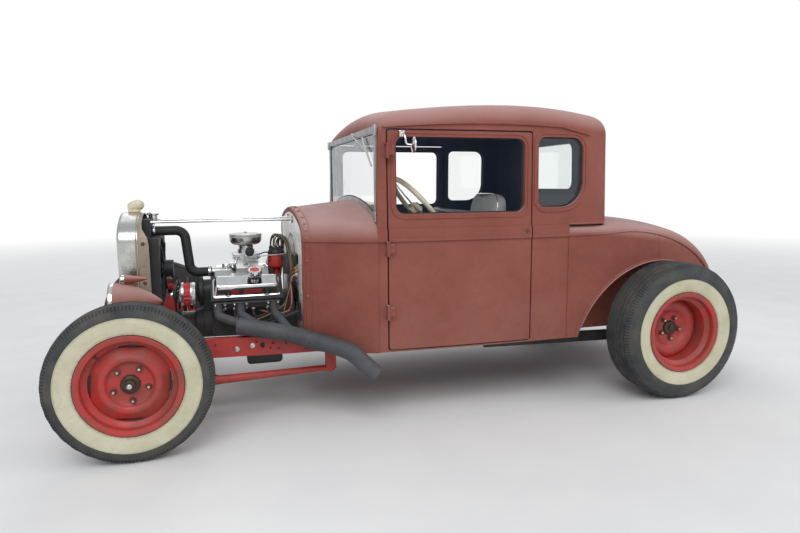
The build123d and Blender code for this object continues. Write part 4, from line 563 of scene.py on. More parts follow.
def tyre(corner, r, width, rim_w, wall_r):
    """Tyre of an outer radius and width on a rim, with a white band out to wall_r."""
    node = "tyre_" + corner
    centre = sum(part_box(node), Vector()) / 2
    half = width / 2 - 1.5
    bead = rim_w / 2 - 8
    mid = (BEAD_R + r) / 2
    rows = [(191, bead - 8), (200, bead + 1), (208, bead + 2.5), (211, bead + 4.5, WALL)]
    for i in range(9):
        rr = 214 + (wall_r - 6 - 214) * i / 8
        rows.append((rr, bulge(rr, r, mid, half, bead), WALL))
    edge = bulge(wall_r, r, mid, half, bead)
    rows += [(wall_r - 5.2, edge - 1.0, WALL), (wall_r - 4.2, edge + 0.1, WALL), (wall_r - 1.2, edge, WALL),
        (wall_r - 0.4, edge - 1.6), (wall_r + 2, edge - 1.8)]
    for i in range(4):
        rr = wall_r + 6 + (r - 22 - wall_r - 6) * i / 3
        rows.append((rr, bulge(rr, r, mid, half, bead) - 0.6))
    shoulder = len(rows)
    rows += [(r - down, half - inward) for down, inward in SHOULDER_ROWS]
    lug_end = len(rows)
    for g in GROOVES:
        y = (half - 27) * g
        crown = r - 5 * g * g - 0.5
        rows += [(crown, y + 3.4), (crown - GROOVE_DEPTH, y + 2.2), (crown - GROOVE_DEPTH, y - 2.2),
            (crown, y - 3.4)]
    outer = len(rows)
    rows += [(row[0], -row[1]) for row in reversed(rows)]

    def shape(i, k, t, rr, h):
        j = i if i < outer else len(rows) - 1 - i
        if shoulder <= j < lug_end and k % 3 == 2:
            return rr - 4.5, h - copysign(3.4, h)
        if j >= lug_end:
            zig = ZIGZAG if (k // 6) % 2 else -ZIGZAG
            return rr, h + (zig if i < outer else -zig)
        return rr, h

    ob = lathe("dressed_" + node, rows, ("tyre", "whitewall"), centre, (0, copysign(1, centre.y), 0),
        body="wheel_" + corner, steps=TREAD_STEPS, shape=shape, loop=True, sharp=28)
    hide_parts(node)


def bulge(rr, r, mid, half, bead):
    """Half width of the sidewall at a radius: an arc from the rim to the shoulder."""
    if rr < mid:
        t = (mid - rr) / (mid - BEAD_R)
        return half - (half - bead - 3) * t ** 2.2
    t = (rr - mid) / (r - 14 - mid)
    return half - 17 * min(t, 1.2) ** 2.4


# Wheels: rim, dished disc with four edge slots, drum, hub, studs and nuts
DISC_R = 160.2
SHEET = 4
RIM_OUTSIDE = ((203.5, 0), (207.6, 1.2), (207.6, 5), (203, 6.6), (190, 8), (188.5, 14), (188, 30), (184, 34),
    (168, 43), (165.6, 47))
RIM_INSIDE = ((198, 1), (185, 5), (182, 12), (182, 30), (177, 37), (161, 46), (160, 50))
DRUM = ((20.4, 0), (139, 0), (140, 2), (140, 12), (157, 13), (157, 18), (140, 20), (140, 53), (136, 55),
    (132, 55), (132, 10), (44, 10), (44, 55), (20.4, 55))


def both_ends(rows, h):
    """Rows given as radius and distance from the rim's end, from the outer end over to the inner one."""
    return [(r, h - y) for r, y in rows] + [(r, y - h) for r, y in reversed(rows)]


def wheel(corner, rim_w, disc, disc_y, lug_circle, cap, turn, flat_r, emboss):
    """Wheel of a rim width; the disc is cut flat at flat_r on four sides and embossed between the nuts."""
    name = "dressed_wheel_" + corner
    body = "wheel_" + corner
    centre = sum(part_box("tyre_" + corner), Vector()) / 2
    out = (0, copysign(1, centre.y), 0)
    h = rim_w / 2
    rows = both_ends(RIM_OUTSIDE, h) + both_ends(RIM_INSIDE, h)[::-1]
    rows.insert(4, (194, h - 6.8))  # the near lip has one edge more
    rim = lathe(name, rows, "wheel_paint", centre, out, body=body, steps=128, loop=True, sharp=30)
    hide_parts("wheel_" + corner)
    rows = disc + [(r, y - SHEET) for r, y in reversed(disc)]

    def shape(i, k, t, r, y):
        a = t + turn
        limit = min(DISC_R, flat_r / max(abs(cos(a)), abs(sin(a)), 0.7))
        if r > 120:
            r = 120 + (r - 120) * (limit - 120) / (DISC_R - 120)
        if i < len(disc) and 50 < r < 88:
            rib = max(0.0, cos((a * 5 + 3.17) % (2 * pi) - pi)) ** 6
            y += emboss * rib * sin((r - 50) / 38 * pi)
        return r, y

    lathe(name + "_disc", rows, "wheel_paint", centre, out, body=body, steps=160, shape=shape, loop=True,
        sharp=40)
    drum = [(r, disc_y - 5 - y) for r, y in DRUM]
    lathe(name + "_drum", drum, "black_metal", centre, out, body=body, steps=96, loop=True)
    lathe(name + "_hub", cap, ("hub_grease", "nut_bright"), centre, out, body=body, sharp=30)
    nuts = []
    studs = []
    m = facing(centre, out)
    for t in ring(5):
        a = -turn - radians(9) + t
        foot = m @ (Vector((lug_circle * cos(a), lug_circle * sin(a), disc_y - 0.5)) / 1000)
        nuts.append(prism(24, 0.0135, 0.003, foot, out, 0.85))
        nuts.append(prism(6, 0.0108, 0.0125, foot, out, 0.72, a))
        studs.append(prism(20, 0.0062, 0.0175, foot, out, 0.8))
    group(name + "_nuts", nuts, "nut_dark", body=body)
    group(name + "_studs", studs, "nut_bright", body=body, slot="black_metal")
    a = -turn + radians(138)
    foot = m @ (Vector((181.5 * cos(a), 181.5 * sin(a), h - 26)) / 1000)
    inward = (m.to_3x3() @ Vector((-cos(a), -sin(a), 0.25))).normalized()
    stem = [prism(18, 0.007, 0.008, foot, inward, 0.8), prism(12, 0.004, 0.026, foot, inward, 0.9)]
    group(name + "_valve", stem, "black_plastic", body=body)


FRONT_DISC = [(38.4, 30), (44, 28.6), (62, 28.2), (80, 29), (87, 32), (92, 39), (97, 45.5), (104, 48.4),
    (112, 48.2), (119, 45), (126, 40), (136, 33.5), (148, 27), (156, 22), (DISC_R, 19.5)]
FRONT_CAP = [(0.01, 76, 1), (8, 75.6, 1), (10, 74, 1), (10, 69), (19, 67.5), (23, 64), (24.5, 58), (24.5, 50),
    (30, 48.5), (35, 46), (38, 42), (38.2, 24), (0.01, 24)]
REAR_DISC = [(38.4, -25), (44, -26), (60, -26.5), (76, -25.5), (84, -22), (92, -15), (99, -8), (108, -4),
    (120, -1), (132, -0.8), (142, -3.5), (150, -8.5), (156, -13.5), (DISC_R, -17)]
REAR_CAP = [(0.01, -1), (14, -1.2), (17, -3), (17, -9), (30, -10), (35, -12.5), (38, -17), (38.2, -31),
    (0.01, -31)]
for _, word in SIDES:
    tyre("front_" + word, r=330.0, width=150.0, rim_w=140.0, wall_r=279.0)
    tyre("rear_" + word, r=358.0, width=208.0, rim_w=190.0, wall_r=277.0)
    wheel("front_" + word, rim_w=140.0, disc=FRONT_DISC, disc_y=30.0, lug_circle=69.85, cap=FRONT_CAP,
        turn=radians(4), flat_r=148.0, emboss=4.0)
    wheel("rear_" + word, rim_w=190.0, disc=REAR_DISC, disc_y=-25.0, lug_circle=57.15, cap=REAR_CAP,
        turn=radians(2), flat_r=200.0, emboss=0.0)


# Cowl trim: station, half width, side height and crown height of the body's sections
COWL = ((740, 472, 925, 1002), (905, 572, 929, 1022), (1069, 634, 937, 1040))
COWL_ROUND = 100.0
COWL_FOOT = 345.0


def along(d, k):
    """Half width, side height or crown of the cowl at a station, from the parabola through its sections."""
    (d0, *a), (d1, *b), (d2, *c) = COWL
    p, q, r = a[k], b[k], c[k]
    first = (q - p) / (d1 - d0)
    second = ((r - q) / (d2 - d1) - first) / (d2 - d0)
    return p + (d - d0) * first + (d - d0) * (d - d1) * second


def cowl_line(d, out, count=9):
    """Section line of the cowl from one sill over the top to the other, with its normals."""
    h, side_top, crown = (along(d, k) for k in range(3))
    rise = crown - side_top
    big = (h * h + rise * rise) / (2 * rise)
    mid_z = crown - big
    turn_z = mid_z + sqrt((big - COWL_ROUND) ** 2 - (h - COWL_ROUND) ** 2)
    lean = atan2(turn_z - mid_z, h - COWL_ROUND)
    half = [(h + out, COWL_FOOT + (turn_z - COWL_FOOT) * i / 6, 0.0) for i in range(6)]
    for i in range(count):
        t = lean * i / (count - 1)
        half.append((h - COWL_ROUND + (COWL_ROUND + out) * cos(t), turn_z + (COWL_ROUND + out) * sin(t), t))
    for i in range(1, count):
        t = lean + (pi / 2 - lean) * i / (count - 1)
        half.append(((big + out) * cos(t), mid_z + (big + out) * sin(t), t))
    rows = half + [(-y, z, pi - t) for y, z, t in reversed(half[:-1])]
    return [(at(d, y, z), Vector((0, cos(t), sin(t)))) for y, z, t in rows]


def cowl_trim():
    """Two beads round the cowl with buttons between them."""
    front = cowl_line(748, 0.6)
    rear = cowl_line(776, 0.6)
    curve("cowl_front_bead", [p for p, n in front], 0.0045, "primer")
    curve("cowl_rear_bead", [p for p, n in rear], 0.0035, "primer")
    mid = cowl_line(762, 0.4, 7)
    spots = [(p, n) for i, (p, n) in enumerate(mid) if i % 2 == 1]
    bolts("cowl_buttons", spots, "primer", h=0.004, sides=20, top=0.6)


cowl_trim()


# Windshield: rubber, wiper, corner brackets and frame screws
SCREEN_D = 1069.0
SCREEN_HALF = 560.0


def windshield_trim():
    """Rubber, frame screws, wiper and corner plates of the windshield."""
    rows = [(-SCREEN_HALF + 4, 992), (-SCREEN_HALF + 4, 1356), (SCREEN_HALF - 4, 1356),
        (SCREEN_HALF - 4, 992)]
    arch = [(y, 985 + 77 * (1 - (y / SCREEN_HALF) ** 2) + 2) for y in range(480, -481, -120)]
    loop = [at(SCREEN_D + 8, y, z) for y, z in rows + arch]
    curve("windshield_rubber", loop, 0.004, "gasket", closed=True, poly=True)
    spots = []
    for s in (1, -1):
        for z in (1005, 1120, 1240, 1345):
            spots.append((at(SCREEN_D + 0.2, s * 574, z), FORWARD))
        for y in (120, 300, 460):
            spots.append((at(SCREEN_D + 0.2, s * y, 1377), FORWARD))
    bolts("windshield_screws", spots, "bare_metal", r=0.0042, h=0.002, sides=16, top=0.7)
    group("wiper_pivot", [prism(24, 0.011, 0.012, at(SCREEN_D, 135, 1378), FORWARD, 0.8)], "chrome")
    arm = [at(SCREEN_D - 1, 135, 1378) + Vector((0.009, 0, 0)), at(SCREEN_D - 10, 280, 1338),
        at(SCREEN_D - 8, 440, 1283)]
    curve("wiper_arm", arm, 0.0035, "bare_metal")
    blade = [at(SCREEN_D - 3, 352, 1352), at(SCREEN_D - 6, 440, 1282), at(SCREEN_D - 3, 532, 1210)]
    curve("wiper_blade", blade, 0.0045, "wire_white")
    for s, word in SIDES:
        plates = [block(at(SCREEN_D - 3, s * 590, z), (0.008, 0.03, 0.05), 0.002) for z in (975, 1368)]
        group("windshield_bracket_" + word, plates, "bare_metal")


windshield_trim()


# Sides: a rubber channel round each window opening, keyholes and hinge screws
def window_loop(front, rear, low, high, r_front, r_low, r_high, grow):
    """Rounded window outline, grown or shrunk, as stations and heights."""
    corners = ((rear, low, r_low, 180), (front, low, r_front, 270), (front, high, r_front, 0),
        (rear, high, r_high, 90))
    points = []
    for d, z, r, start in corners:
        r = r + grow
        cd = d - r if d == rear else d + r
        cz = z + r if z == low else z - r
        for i in range(7):
            t = radians(start + 15 * i)
            points.append((cd - (r + grow) * cos(t), cz + (r + grow) * sin(t)))
    return points


DOOR_WINDOW = (1158, 1812, 987, 1341, 42, 42, 42)
QUARTER_WINDOW = (1885, 2140, 1008, 1350, 38, 120, 60)


def side_trim():
    """Window channels, keyhole and hinge screws of each side."""
    for s, word in SIDES:
        for row, tag, body in ((DOOR_WINDOW, "door", "door_" + word), (QUARTER_WINDOW, "quarter", "chassis")):
            points = window_loop(*row, -1.0)
            loop = [at(d, s * (614 - 0.018 * (z - 987)), z) for d, z in points]
            curve(tag + "_window_channel_" + word, loop, 0.005, "gasket", body=body, closed=True, poly=True)
        keyhole, normal = on_skin("door_" + word, at(1822, s * 900, 893), (0, -s, 0))
        stack("keyhole_" + word, [(0, 9, 9, 2), (1.6, 8.4, 8.4, 2), (1.7, 5, 5, 1.5), (0.4, 4, 4, 1)],
            "nut_dark", facing(keyhole, normal, radians(45)), body="door_" + word)
        spots = []
        for z in (1276, 828, 530):
            for dz in (-14, 14):
                p, n = on_skin("door_" + word, at(1134, s * 900, z + dz), (0, -s, 0))
                spots.append((p, n))
        bolts("hinge_screws_" + word, spots, "primer", body="door_" + word, r=0.004, h=0.002, sides=16,
            top=0.7)


side_trim()


# Wheel-arch edging, the bead under the quarter windows and the deck lid's handle
ARCH_R = 543.0
SILL_Z = 345.0


def rear_trim():
    """Beads along the rear wheel arches and under the quarter windows, and the lid's handle."""
    for s, word in SIDES:
        points = []
        for i in range(25):
            t = radians(162 - 144 * i / 24)
            d = 2640 - ARCH_R * cos(radians(180) - t)
            z = 164.5 + ARCH_R * sin(t)
            if z < SILL_Z:
                continue
            found = on_skin("rear_body", at(d, s * 900, z + 3), (0, -s, 0))
            if found:
                points.append(found[0] + found[1] * 0.001)
        curve("arch_edging_" + word, points, 0.0045, "primer")
        ledge = [on_skin("cab", at(d, s * 900, 931), (0, -s, 0))[0] for d in range(2065, 2286, 20)]
        ledge = [Vector((p.x, p.y - s * 0.004, 0.9215)) for p in ledge]
        curve("ledge_bead_" + word, ledge, 0.0055, "primer")
    p, n = on_skin("decklid", at(3500, 0, 705), FORWARD)
    across = Vector(UP).cross(n).normalized()
    place = axes(p, across, n.cross(across), n)
    stack("lid_handle_base", [(0, 16, 16, 16), (3, 15, 15, 15), (6, 9, 9, 9), (20, 7, 7, 7)], "chrome", place,
        body="decklid")
    stack("lid_handle", [(18, 40, 5, 5), (20, 44, 8, 8), (25, 44, 8, 8), (28, 40, 5, 5)], "chrome", place,
        body="decklid")


rear_trim()


# Headlamps, turn signals and tail lamps: distance to the side, height, distance ahead of the axle, radius
LAMP = (350.0, 591.0, 118.0, 95.0)
SIGNAL = (350.0, 700.0, 70.0, 21.0)


def lens(name, y, z, ahead, r, mat, flutes):
    """Domed lens with a rim; a fluted one has fine upright ribs."""
    centre = at(-ahead, y, z)
    rows = [(r - 6, -6.0), (r - 6, -1.0)] + [((r - 6) * (1 - i / 10), -1.0 + 1.2 * sin(i / 10 * 1.5))
        for i in range(1, 10)] + [(0.01, 0.2)]

    def shape(i, k, t, rr, h):
        return rr, h + (0.5 * cos(rr * cos(t) * 0.7) if flutes and 1 < i < 11 else 0.0)

    lathe(name, rows, mat, centre, FORWARD, steps=96, shape=shape)
    rim = [(r - 7, -2), (r - 7, 0.0), (r - 4.5, 1.4), (r - 1.5, 1.2), (r + 0.2, -1), (r + 0.2, -14),
        (r - 0.2, -16)]
    lathe(name + "_rim", rim, "chrome", centre - Vector((0.0017, 0, 0)), FORWARD, steps=96)


def lamps():
    """Lenses, bowls and rims of all lamps."""
    for s, word in SIDES:
        y, z, ahead, r = LAMP
        lens("headlamp_lens_" + word, s * y, z, ahead - 2, r, "glass", True)
        bowl = [(86 * sqrt(1 - (i / 9) ** 2) + 0.01, -8.0 - 9.0 * (i / 9)) for i in range(10)]
        lathe("headlamp_bowl_" + word, bowl, "chrome", at(-ahead, s * y, z), FORWARD)
        lathe("headlamp_bulb_" + word, [(0.01, -5), (7, -7), (9, -11), (7, -16), (0.01, -17)], "wire_white",
            at(-ahead, s * y, z), FORWARD, steps=32)
        y, z, ahead, r = SIGNAL
        lens("signal_lens_" + word, s * y, z, ahead - 1, r, "amber_lens", False)
        curve("signal_stalk_" + word, [at(-16, s * 350, 684), at(-16, s * 350, 672), at(-18, s * 350, 660)],
            0.008, "primer")
        bolts("lamp_bolts_" + word, [(at(-20, s * 350, 661), UP)], "nut_bright", r=0.007, h=0.006)
        behind = at(3585, s * 240, 500)
        face = Vector((on_skin("tail_lamps", behind, FORWARD)[0].x, s * 0.24, 0.5))
        lathe("tail_lens_" + word, [(30, -2), (30, 0.2), (26, 0.9), (18, 0.2), (17, 1.0), (9, 0.3), (8, 1.0),
            (0.01, 1.0)], "tail_lens", face, BACKWARD)
        lathe("tail_rim_" + word, [(36.2, -16), (36.6, -3), (35, 0.6), (31, 0.8), (30, -1)], "chrome", face,
            BACKWARD)


lamps()


# Engine: two banks at 45 degrees from the crankshaft
S45 = sqrt(0.5)
CRANK_Z = 400.0
CARB_D = 504
DISTRIBUTOR_D = 662
DIST_TOP = 796


def bank_frame(side, d):
    """Placement on a cylinder bank: x forward, y towards the valley, z out along the bank."""
    return axes(at(d, 0, CRANK_Z), FORWARD, (0, -side * S45, S45), (0, side * S45, S45))


def on_bank(side, d, up, out):
    """Point so far up along a bank and out from its middle plane."""
    return at(d, side * (up + out) * S45, CRANK_Z + (up - out) * S45)


def bank_outward(side):
    """Direction out from a bank, away from the valley and down."""
    return Vector((0, side * S45, -S45))


def valve_covers():
    """Ribbed covers with a striped side panel, two clamps and a breather each."""
    for s, word in SIDES:
        m = bank_frame(s, 491.5)
        rings = [(304.4, 163, 59, 14), (308.5, 163.5, 59.5, 14), (309.5, 161, 57, 13), (310.5, 157, 53, 12),
            (313, 155.5, 51, 12), (352, 151, 38.5, 12), (357, 149, 36, 14), (361, 145, 32, 14),
            (363, 140, 27, 14), (362.4, 136, 23, 12)]
        cover = stack("valve_cover_" + word, rings, "chrome", m, count=72)
        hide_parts("engine_covers")
        side = m @ Matrix.Translation((0, -0.0448, 0.333)) @ tilt(-0.31, "X")
        group("cover_panel_" + word, [block((0, 0, 0), (0.285, 0.002, 0.031), 0.0006)], "black_metal",
            place=side)
        stripes = []
        for x, length in ((0.062, 0.044), (-0.028, 0.086)):
            for z in (-0.0075, 0.0, 0.0075):
                stripes.append(block((x, -0.0013, z), (length, 0.0012, 0.0046), 0.0004))
        group("cover_stripes_" + word, stripes, "red_enamel", place=side)
        knobs = []
        bright = []
        for x in (0.0915, -0.0965):
            foot = Vector((x, -0.0008, -0.001))
            knobs.append(prism(28, 0.0135, 0.010, foot, (0, -1, 0), 0.8))
            knobs.append(block((x, -0.003, -0.014), (0.03, 0.004, 0.008), 0.001))
            bright.append(prism(6, 0.005, 0.0135, foot, (0, -1, 0), 0.85))
        group("cover_clamps_" + word, knobs, "black_plastic", place=side)
        group("cover_clamp_bolts_" + word, bright, "nut_bright", place=side)
    for s, word in SIDES:
        rows = [(18, -12), (18, 10, 1), (31, 14, 1), (33, 17, 1), (33, 26, 1), (35, 28), (36.5, 31),
            (36.5, 49), (35, 53), (28, 56.5), (25, 56, 2), (10, 57.2, 2), (0.01, 57.4, 2)]

        def knurl(i, k, t, r, h):
            return (r - 0.9 * (k % 4 == 0) if 6 <= i <= 7 else r), h

        lathe("breather_" + word, rows, ("chrome", "black_metal", "red_moulded"), on_bank(s, 530, 366, 0),
            (0, s * 0.35, 1), steps=96, shape=knurl)


valve_covers()


def air_cleaner():
    """Round cleaner with a pleated filter and a wing nut."""
    rows = [(30, 786), (37, 788), (38, 806), (48, 810), (62, 813), (72, 818), (79, 827), (82.5, 838),
        (84, 853), (82.5, 854, 1), (82, 858, 1), (82, 861, 1), (86, 862), (86, 865), (83, 868.5), (70, 870.5),
        (40, 872.5), (10, 873), (9, 873.5), (8.5, 877), (5, 880), (0.01, 880)]

    def pleat(i, k, t, r, h):
        return (r - 1.6 * (k % 2) if rows[i][-1] == 1 and len(rows[i]) == 3 else r), h

    lathe("air_cleaner", rows, ("alloy", "wire_white"), at(CARB_D, 0, 0), UP, steps=180, shape=pleat)
    wings = [block(at(CARB_D, y, 877), (0.003, 0.014, 0.008), 0.001) for y in (-8, 8)]
    group("cleaner_wing_nut", wings, "chrome")


air_cleaner()


def carburettor():
    """Carburettor with its linkage, fuel line and filter, and what is bolted to the intake."""
    level = axes(at(CARB_D, 0, 0), FORWARD, (0, 1, 0), UP)
    stack("carb_base", [(686, 62, 50, 10), (694, 62, 50, 10), (695, 58, 46, 8)], "alloy", level)
    bowls = []
    for x in (0.036, -0.036):
        bowls.append(block(at(CARB_D - x * 1000, 0, 752), (0.05, 0.094, 0.034), 0.005))
        bowls.append(block(at(CARB_D - x * 1700, 0, 752), (0.012, 0.08, 0.03), 0.003))
    group("carb_bowls", bowls, "alloy")
    spots = []
    for x in (-68, 68):
        for y in (-34, 34):
            for z in (744, 760):
                spots.append((at(CARB_D - x, y, z), (copysign(1, x), 0, 0)))
    for x in (-48, 48):
        for y in (-38, 38):
            spots.append((at(CARB_D - x, y, 695), UP))
    bolts("carb_screws", spots, "nut_bright", r=0.0035, h=0.004)
    pot = [(0.01, 12), (12, 12), (19, 10), (21, 6), (21, 0), (23, -1), (23, -5)]
    for s, word in SIDES:
        lathe("choke_pot_" + word, pot, "black_plastic", at(CARB_D + 16, s * 50, 775), (0, s, 0), steps=40)
    lever = [block(at(488, 54, 728), (0.02, 0.004, 0.05), 0.001, tilt(0.4, "Y")),
        block(at(520, 54, 735), (0.055, 0.004, 0.012), 0.001, tilt(-0.3, "Y"))]
    group("throttle_lever", lever, "bare_metal")
    curve("throttle_rod", [at(488, 58, 748), at(560, 62, 752), at(640, 60, 756), at(735, 64, 762)], 0.0028,
        "bare_metal")
    curve("throttle_spring", [at(498 + 60 * i / 72, 60 + 4 * cos(i * 1.05), 720 + 4 * sin(i * 1.05))
        for i in range(73)], 0.0008, "nut_bright")
    curve("fuel_line", [at(430, 20, 640), at(430, 62, 668), at(440, 78, 706), at(452, 66, 744),
        at(466, 40, 752)], 0.0045, "chrome")
    lathe("fuel_filter", [(0.01, -26), (6, -26), (6, -20), (15, -17), (16, -14), (16, 14), (15, 17), (6, 20),
        (6, 26), (0.01, 26)], "chrome", at(432, 74, 700), (0.2, 0.25, 1), steps=40)
    for d, y in ((385, 30), (385, -30), (600, 40), (600, -40)):
        spot = on_skin("intake", at(d, y, 760), DOWN)
        bolts("intake_bolt_%d_%d" % (d, y + 50), [spot], "nut_bright", r=0.007, h=0.006)
    lathe("thermostat_housing", [(30, 0), (30, 6), (24, 9), (23, 24), (20, 30), (8, 32), (0.01, 32)],
        "chrome", at(400, 35, 686), UP, steps=48)
    lathe("temperature_sender", [(0.01, 26), (5, 26), (5, 18), (9, 17), (9, 8), (12, 7), (12, 0)], "brass",
        at(432, -30, 655), (0, 0.1, 1), steps=6)


carburettor()


def hose_clamps():
    """Clamps at both ends of the upper hose."""
    y = 45
    for i, (d, z) in enumerate(((56, 898), (316, 680))):
        rows = [(24.2, -7), (25.6, -7), (26.1, -6), (26.1, 6), (25.6, 7), (24.2, 7)]
        lathe("hose_clamp_%d" % i, rows, "chrome", at(d, y, z), FORWARD)
        screw = [block(at(d, y, z + 29), (0.012, 0.022, 0.009), 0.0015),
            prism(6, 0.004, 0.012, at(d, y + 9, z + 29), (0, 1, 0), 0.9)]
        group("hose_clamp_screw_%d" % i, screw, "chrome")


hose_clamps()


def distributor():
    """Distributor with its cap's towers and the vacuum can."""
    rows = [(13, 590.5), (20, 597), (20, 676), (30, 682), (44, 686), (47, 690), (48, 696), (48, 738),
        (47, 741), (46, 742), (45, 744), (44.8, 757, 1), (44.5, 768, 1), (42, 775, 1), (34, 783, 1),
        (26, 790, 1), (14, 792, 1), (0.01, 792, 1)]
    ob = lathe("dressed_distributor", rows, ("red_moulded", "black_plastic"), at(DISTRIBUTOR_D, 0, 0), UP,
        steps=72, slot="black_plastic")
    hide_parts("distributor")
    towers = [prism(20, 0.0075, 0.026, at(DISTRIBUTOR_D, 0, 774), UP, 0.8)]
    for t in ring(8):
        towers.append(prism(20, 0.0068, 0.024, at(DISTRIBUTOR_D - 31 * cos(t), 31 * sin(t), 774), UP, 0.8))
    for t in (0.6, 2.2, 3.7, 5.3):
        towers.append(block(at(DISTRIBUTOR_D - 46 * cos(t), 46 * sin(t), 735), (0.012, 0.012, 0.03), 0.002))
    group("distributor_towers", towers, "black_plastic")
    lathe("vacuum_can", [(0.01, 30), (8, 30), (20, 26), (27, 20), (28, 14), (27, 8), (18, 3), (7, 0),
        (7, -20)], "alloy", at(640, -58, 706), (0.3, -1, 0), steps=48)


distributor()

# Station of each spark plug and the number of its lead
PLUGS = ((372, 0), (430, 1), (520, 2), (592, 3))


def lead(name, points, r, mat, stiffness="medium", lay="loose"):
    """A wire that runs along its points as a round bar."""
    ob = curve(name, points, r, mat)
    probe = ob.data.copy()
    probe.bevel_depth = 0
    probe.materials.clear()
    holder = bpy.data.objects.new(name + "_line", probe)
    scene.collection.objects.link(holder)
    bpy.context.view_layer.update()
    line = bpy.data.meshes.new_from_object(holder)
    bpy.data.objects.remove(holder)
    return ob


def vacuum_hose():
    lead("vacuum_hose", [at(556, -20, 742), at(590, -20, 764), at(622, -36, 762), at(636, -62, 742),
        at(640, -72, 716)], 0.0035, "wire_black")


vacuum_hose()


def plug_leads():
    """Spark plugs, boots and the eight leads from the distributor."""
    for s, word in SIDES:
        outward = bank_outward(s)
        porcelain = []
        boots = []
        for d, i in PLUGS:
            root = on_bank(s, d, 236, 75)
            porcelain.append(prism(6, 0.0095, 0.012, root, outward, 0.9))
            porcelain.append(prism(20, 0.006, 0.03, root, outward, 0.8))
            tip = root + outward * 0.018
            boots.append(prism(20, 0.0075, 0.034, tip, outward, 0.75))
            end = root + outward * 0.050
            t = pi / 8 * (2 * i + 1) if s > 0 else -pi / 8 * (2 * i + 1)
            start = at(DISTRIBUTOR_D - 31 * cos(t), 31 * sin(t), DIST_TOP)
            gap = 7.5 * i
            points = [start, start + Vector((0, 0, 0.064)),
                at(694 + gap, s * (98 + gap * 0.5), 856 - gap * 0.5),
                at(712 + gap * 0.4, s * (172 + gap), 758), at(712, s * (232 + gap * 0.8), 632),
                at(690 - gap, s * (276 + gap * 0.8), 520 - gap * 0.3),
                at(d + 74 - 2 * i, s * (298 + gap * 0.2), 450), end + outward * 0.036 - Vector((0.012, 0, 0)),
                end - outward * 0.020]
            lead("plug_lead_%s_%d" % (word, i + 1), points, 0.0035, ("wire_black", "wire_brown")[i % 2])
        group("spark_plugs_" + word, porcelain, "wire_white")
        group("plug_boots_" + word, boots, "wire_black")


plug_leads()


HARNESS = ((268, 706, "wire_red"), (276, 690, "wire_red"), (284, 715, "wire_black"), (292, 698, "wire_red"),
    (300, 680, "wire_white"), (286, 672, "wire_red"), (310, 702, "wire_brown"))


def harness():
    """Loose red and dark wires that hang from the firewall down to the starter and the rail."""
    lathe("coil", [(0.01, 62), (5, 62), (5, 52), (12, 48), (22, 44), (26, 40), (27, 38), (27, -52), (25, -56),
        (0.01, -56)], "black_metal", at(708, 130, 720), UP, steps=48)
    group("coil_bracket", [block(at(725, 130, 716), (0.034, 0.05, 0.03), 0.002)], "bare_metal")
    lead("coil_lead", [at(DISTRIBUTOR_D, 0, 798), at(DISTRIBUTOR_D, 4, 824), at(676, 60, 850),
        at(700, 118, 836), at(708, 130, 800), at(708, 130, 780)], 0.0035, "wire_black")
    spots = []
    for i, (y, z, mat) in enumerate(HARNESS):
        spots.append((at(735.4, y, z), FORWARD))
        sway = (-1) ** i * 7
        points = [at(731, y, z), at(716, y, z + 4), at(704 - i, y + sway, z - 40), at(708, y - sway, z - 95),
            at(700 + i, y + sway * 0.6, z - 150 - 4 * i), at(704 - 3 * i, y - 10 - sway, 520 - 6 * i),
            at(690 - 10 * i, y - 18, 478 + 2 * i), at(664 - 13 * i, y - 34, 462 + 5 * i),
            at(640 - 15 * i, y - 62, 470 + 5 * i)]
        lead("harness_wire_%d" % (i + 1), points, 0.0022, mat, "limp", "hanging")
    bolts("harness_terminals", spots, "brass", r=0.0045, h=0.007)
    group("fuse_block", [block(at(730, 250, 752), (0.016, 0.09, 0.05), 0.003)], "black_plastic")


harness()


def header_fasteners():
    """Bolts above and below each port of the header flanges."""
    for s, word in SIDES:
        outward = bank_outward(s)
        up = Vector((0, s * S45, S45))
        root = on_bank(s, 0, 266.5, 75) + outward * 0.0083
        spots = []
        for d in (338, 382, 428, 486, 592, 642):
            for e in (0.016, -0.016):
                spots.append((root - Vector((d / 1000, 0, 0)) + up * e, outward))
        bolts("header_bolts_" + word, spots, "nut_bright", r=0.0058, h=0.008)


header_fasteners()


# Crankshaft, water pump and alternator pulley: to the left, height, radius
PULLEYS = ((0, 400, 84), (0, 575, 62), (190, 592, 34))
BELT_DEPTH = 6
BELT_STEPS = 120


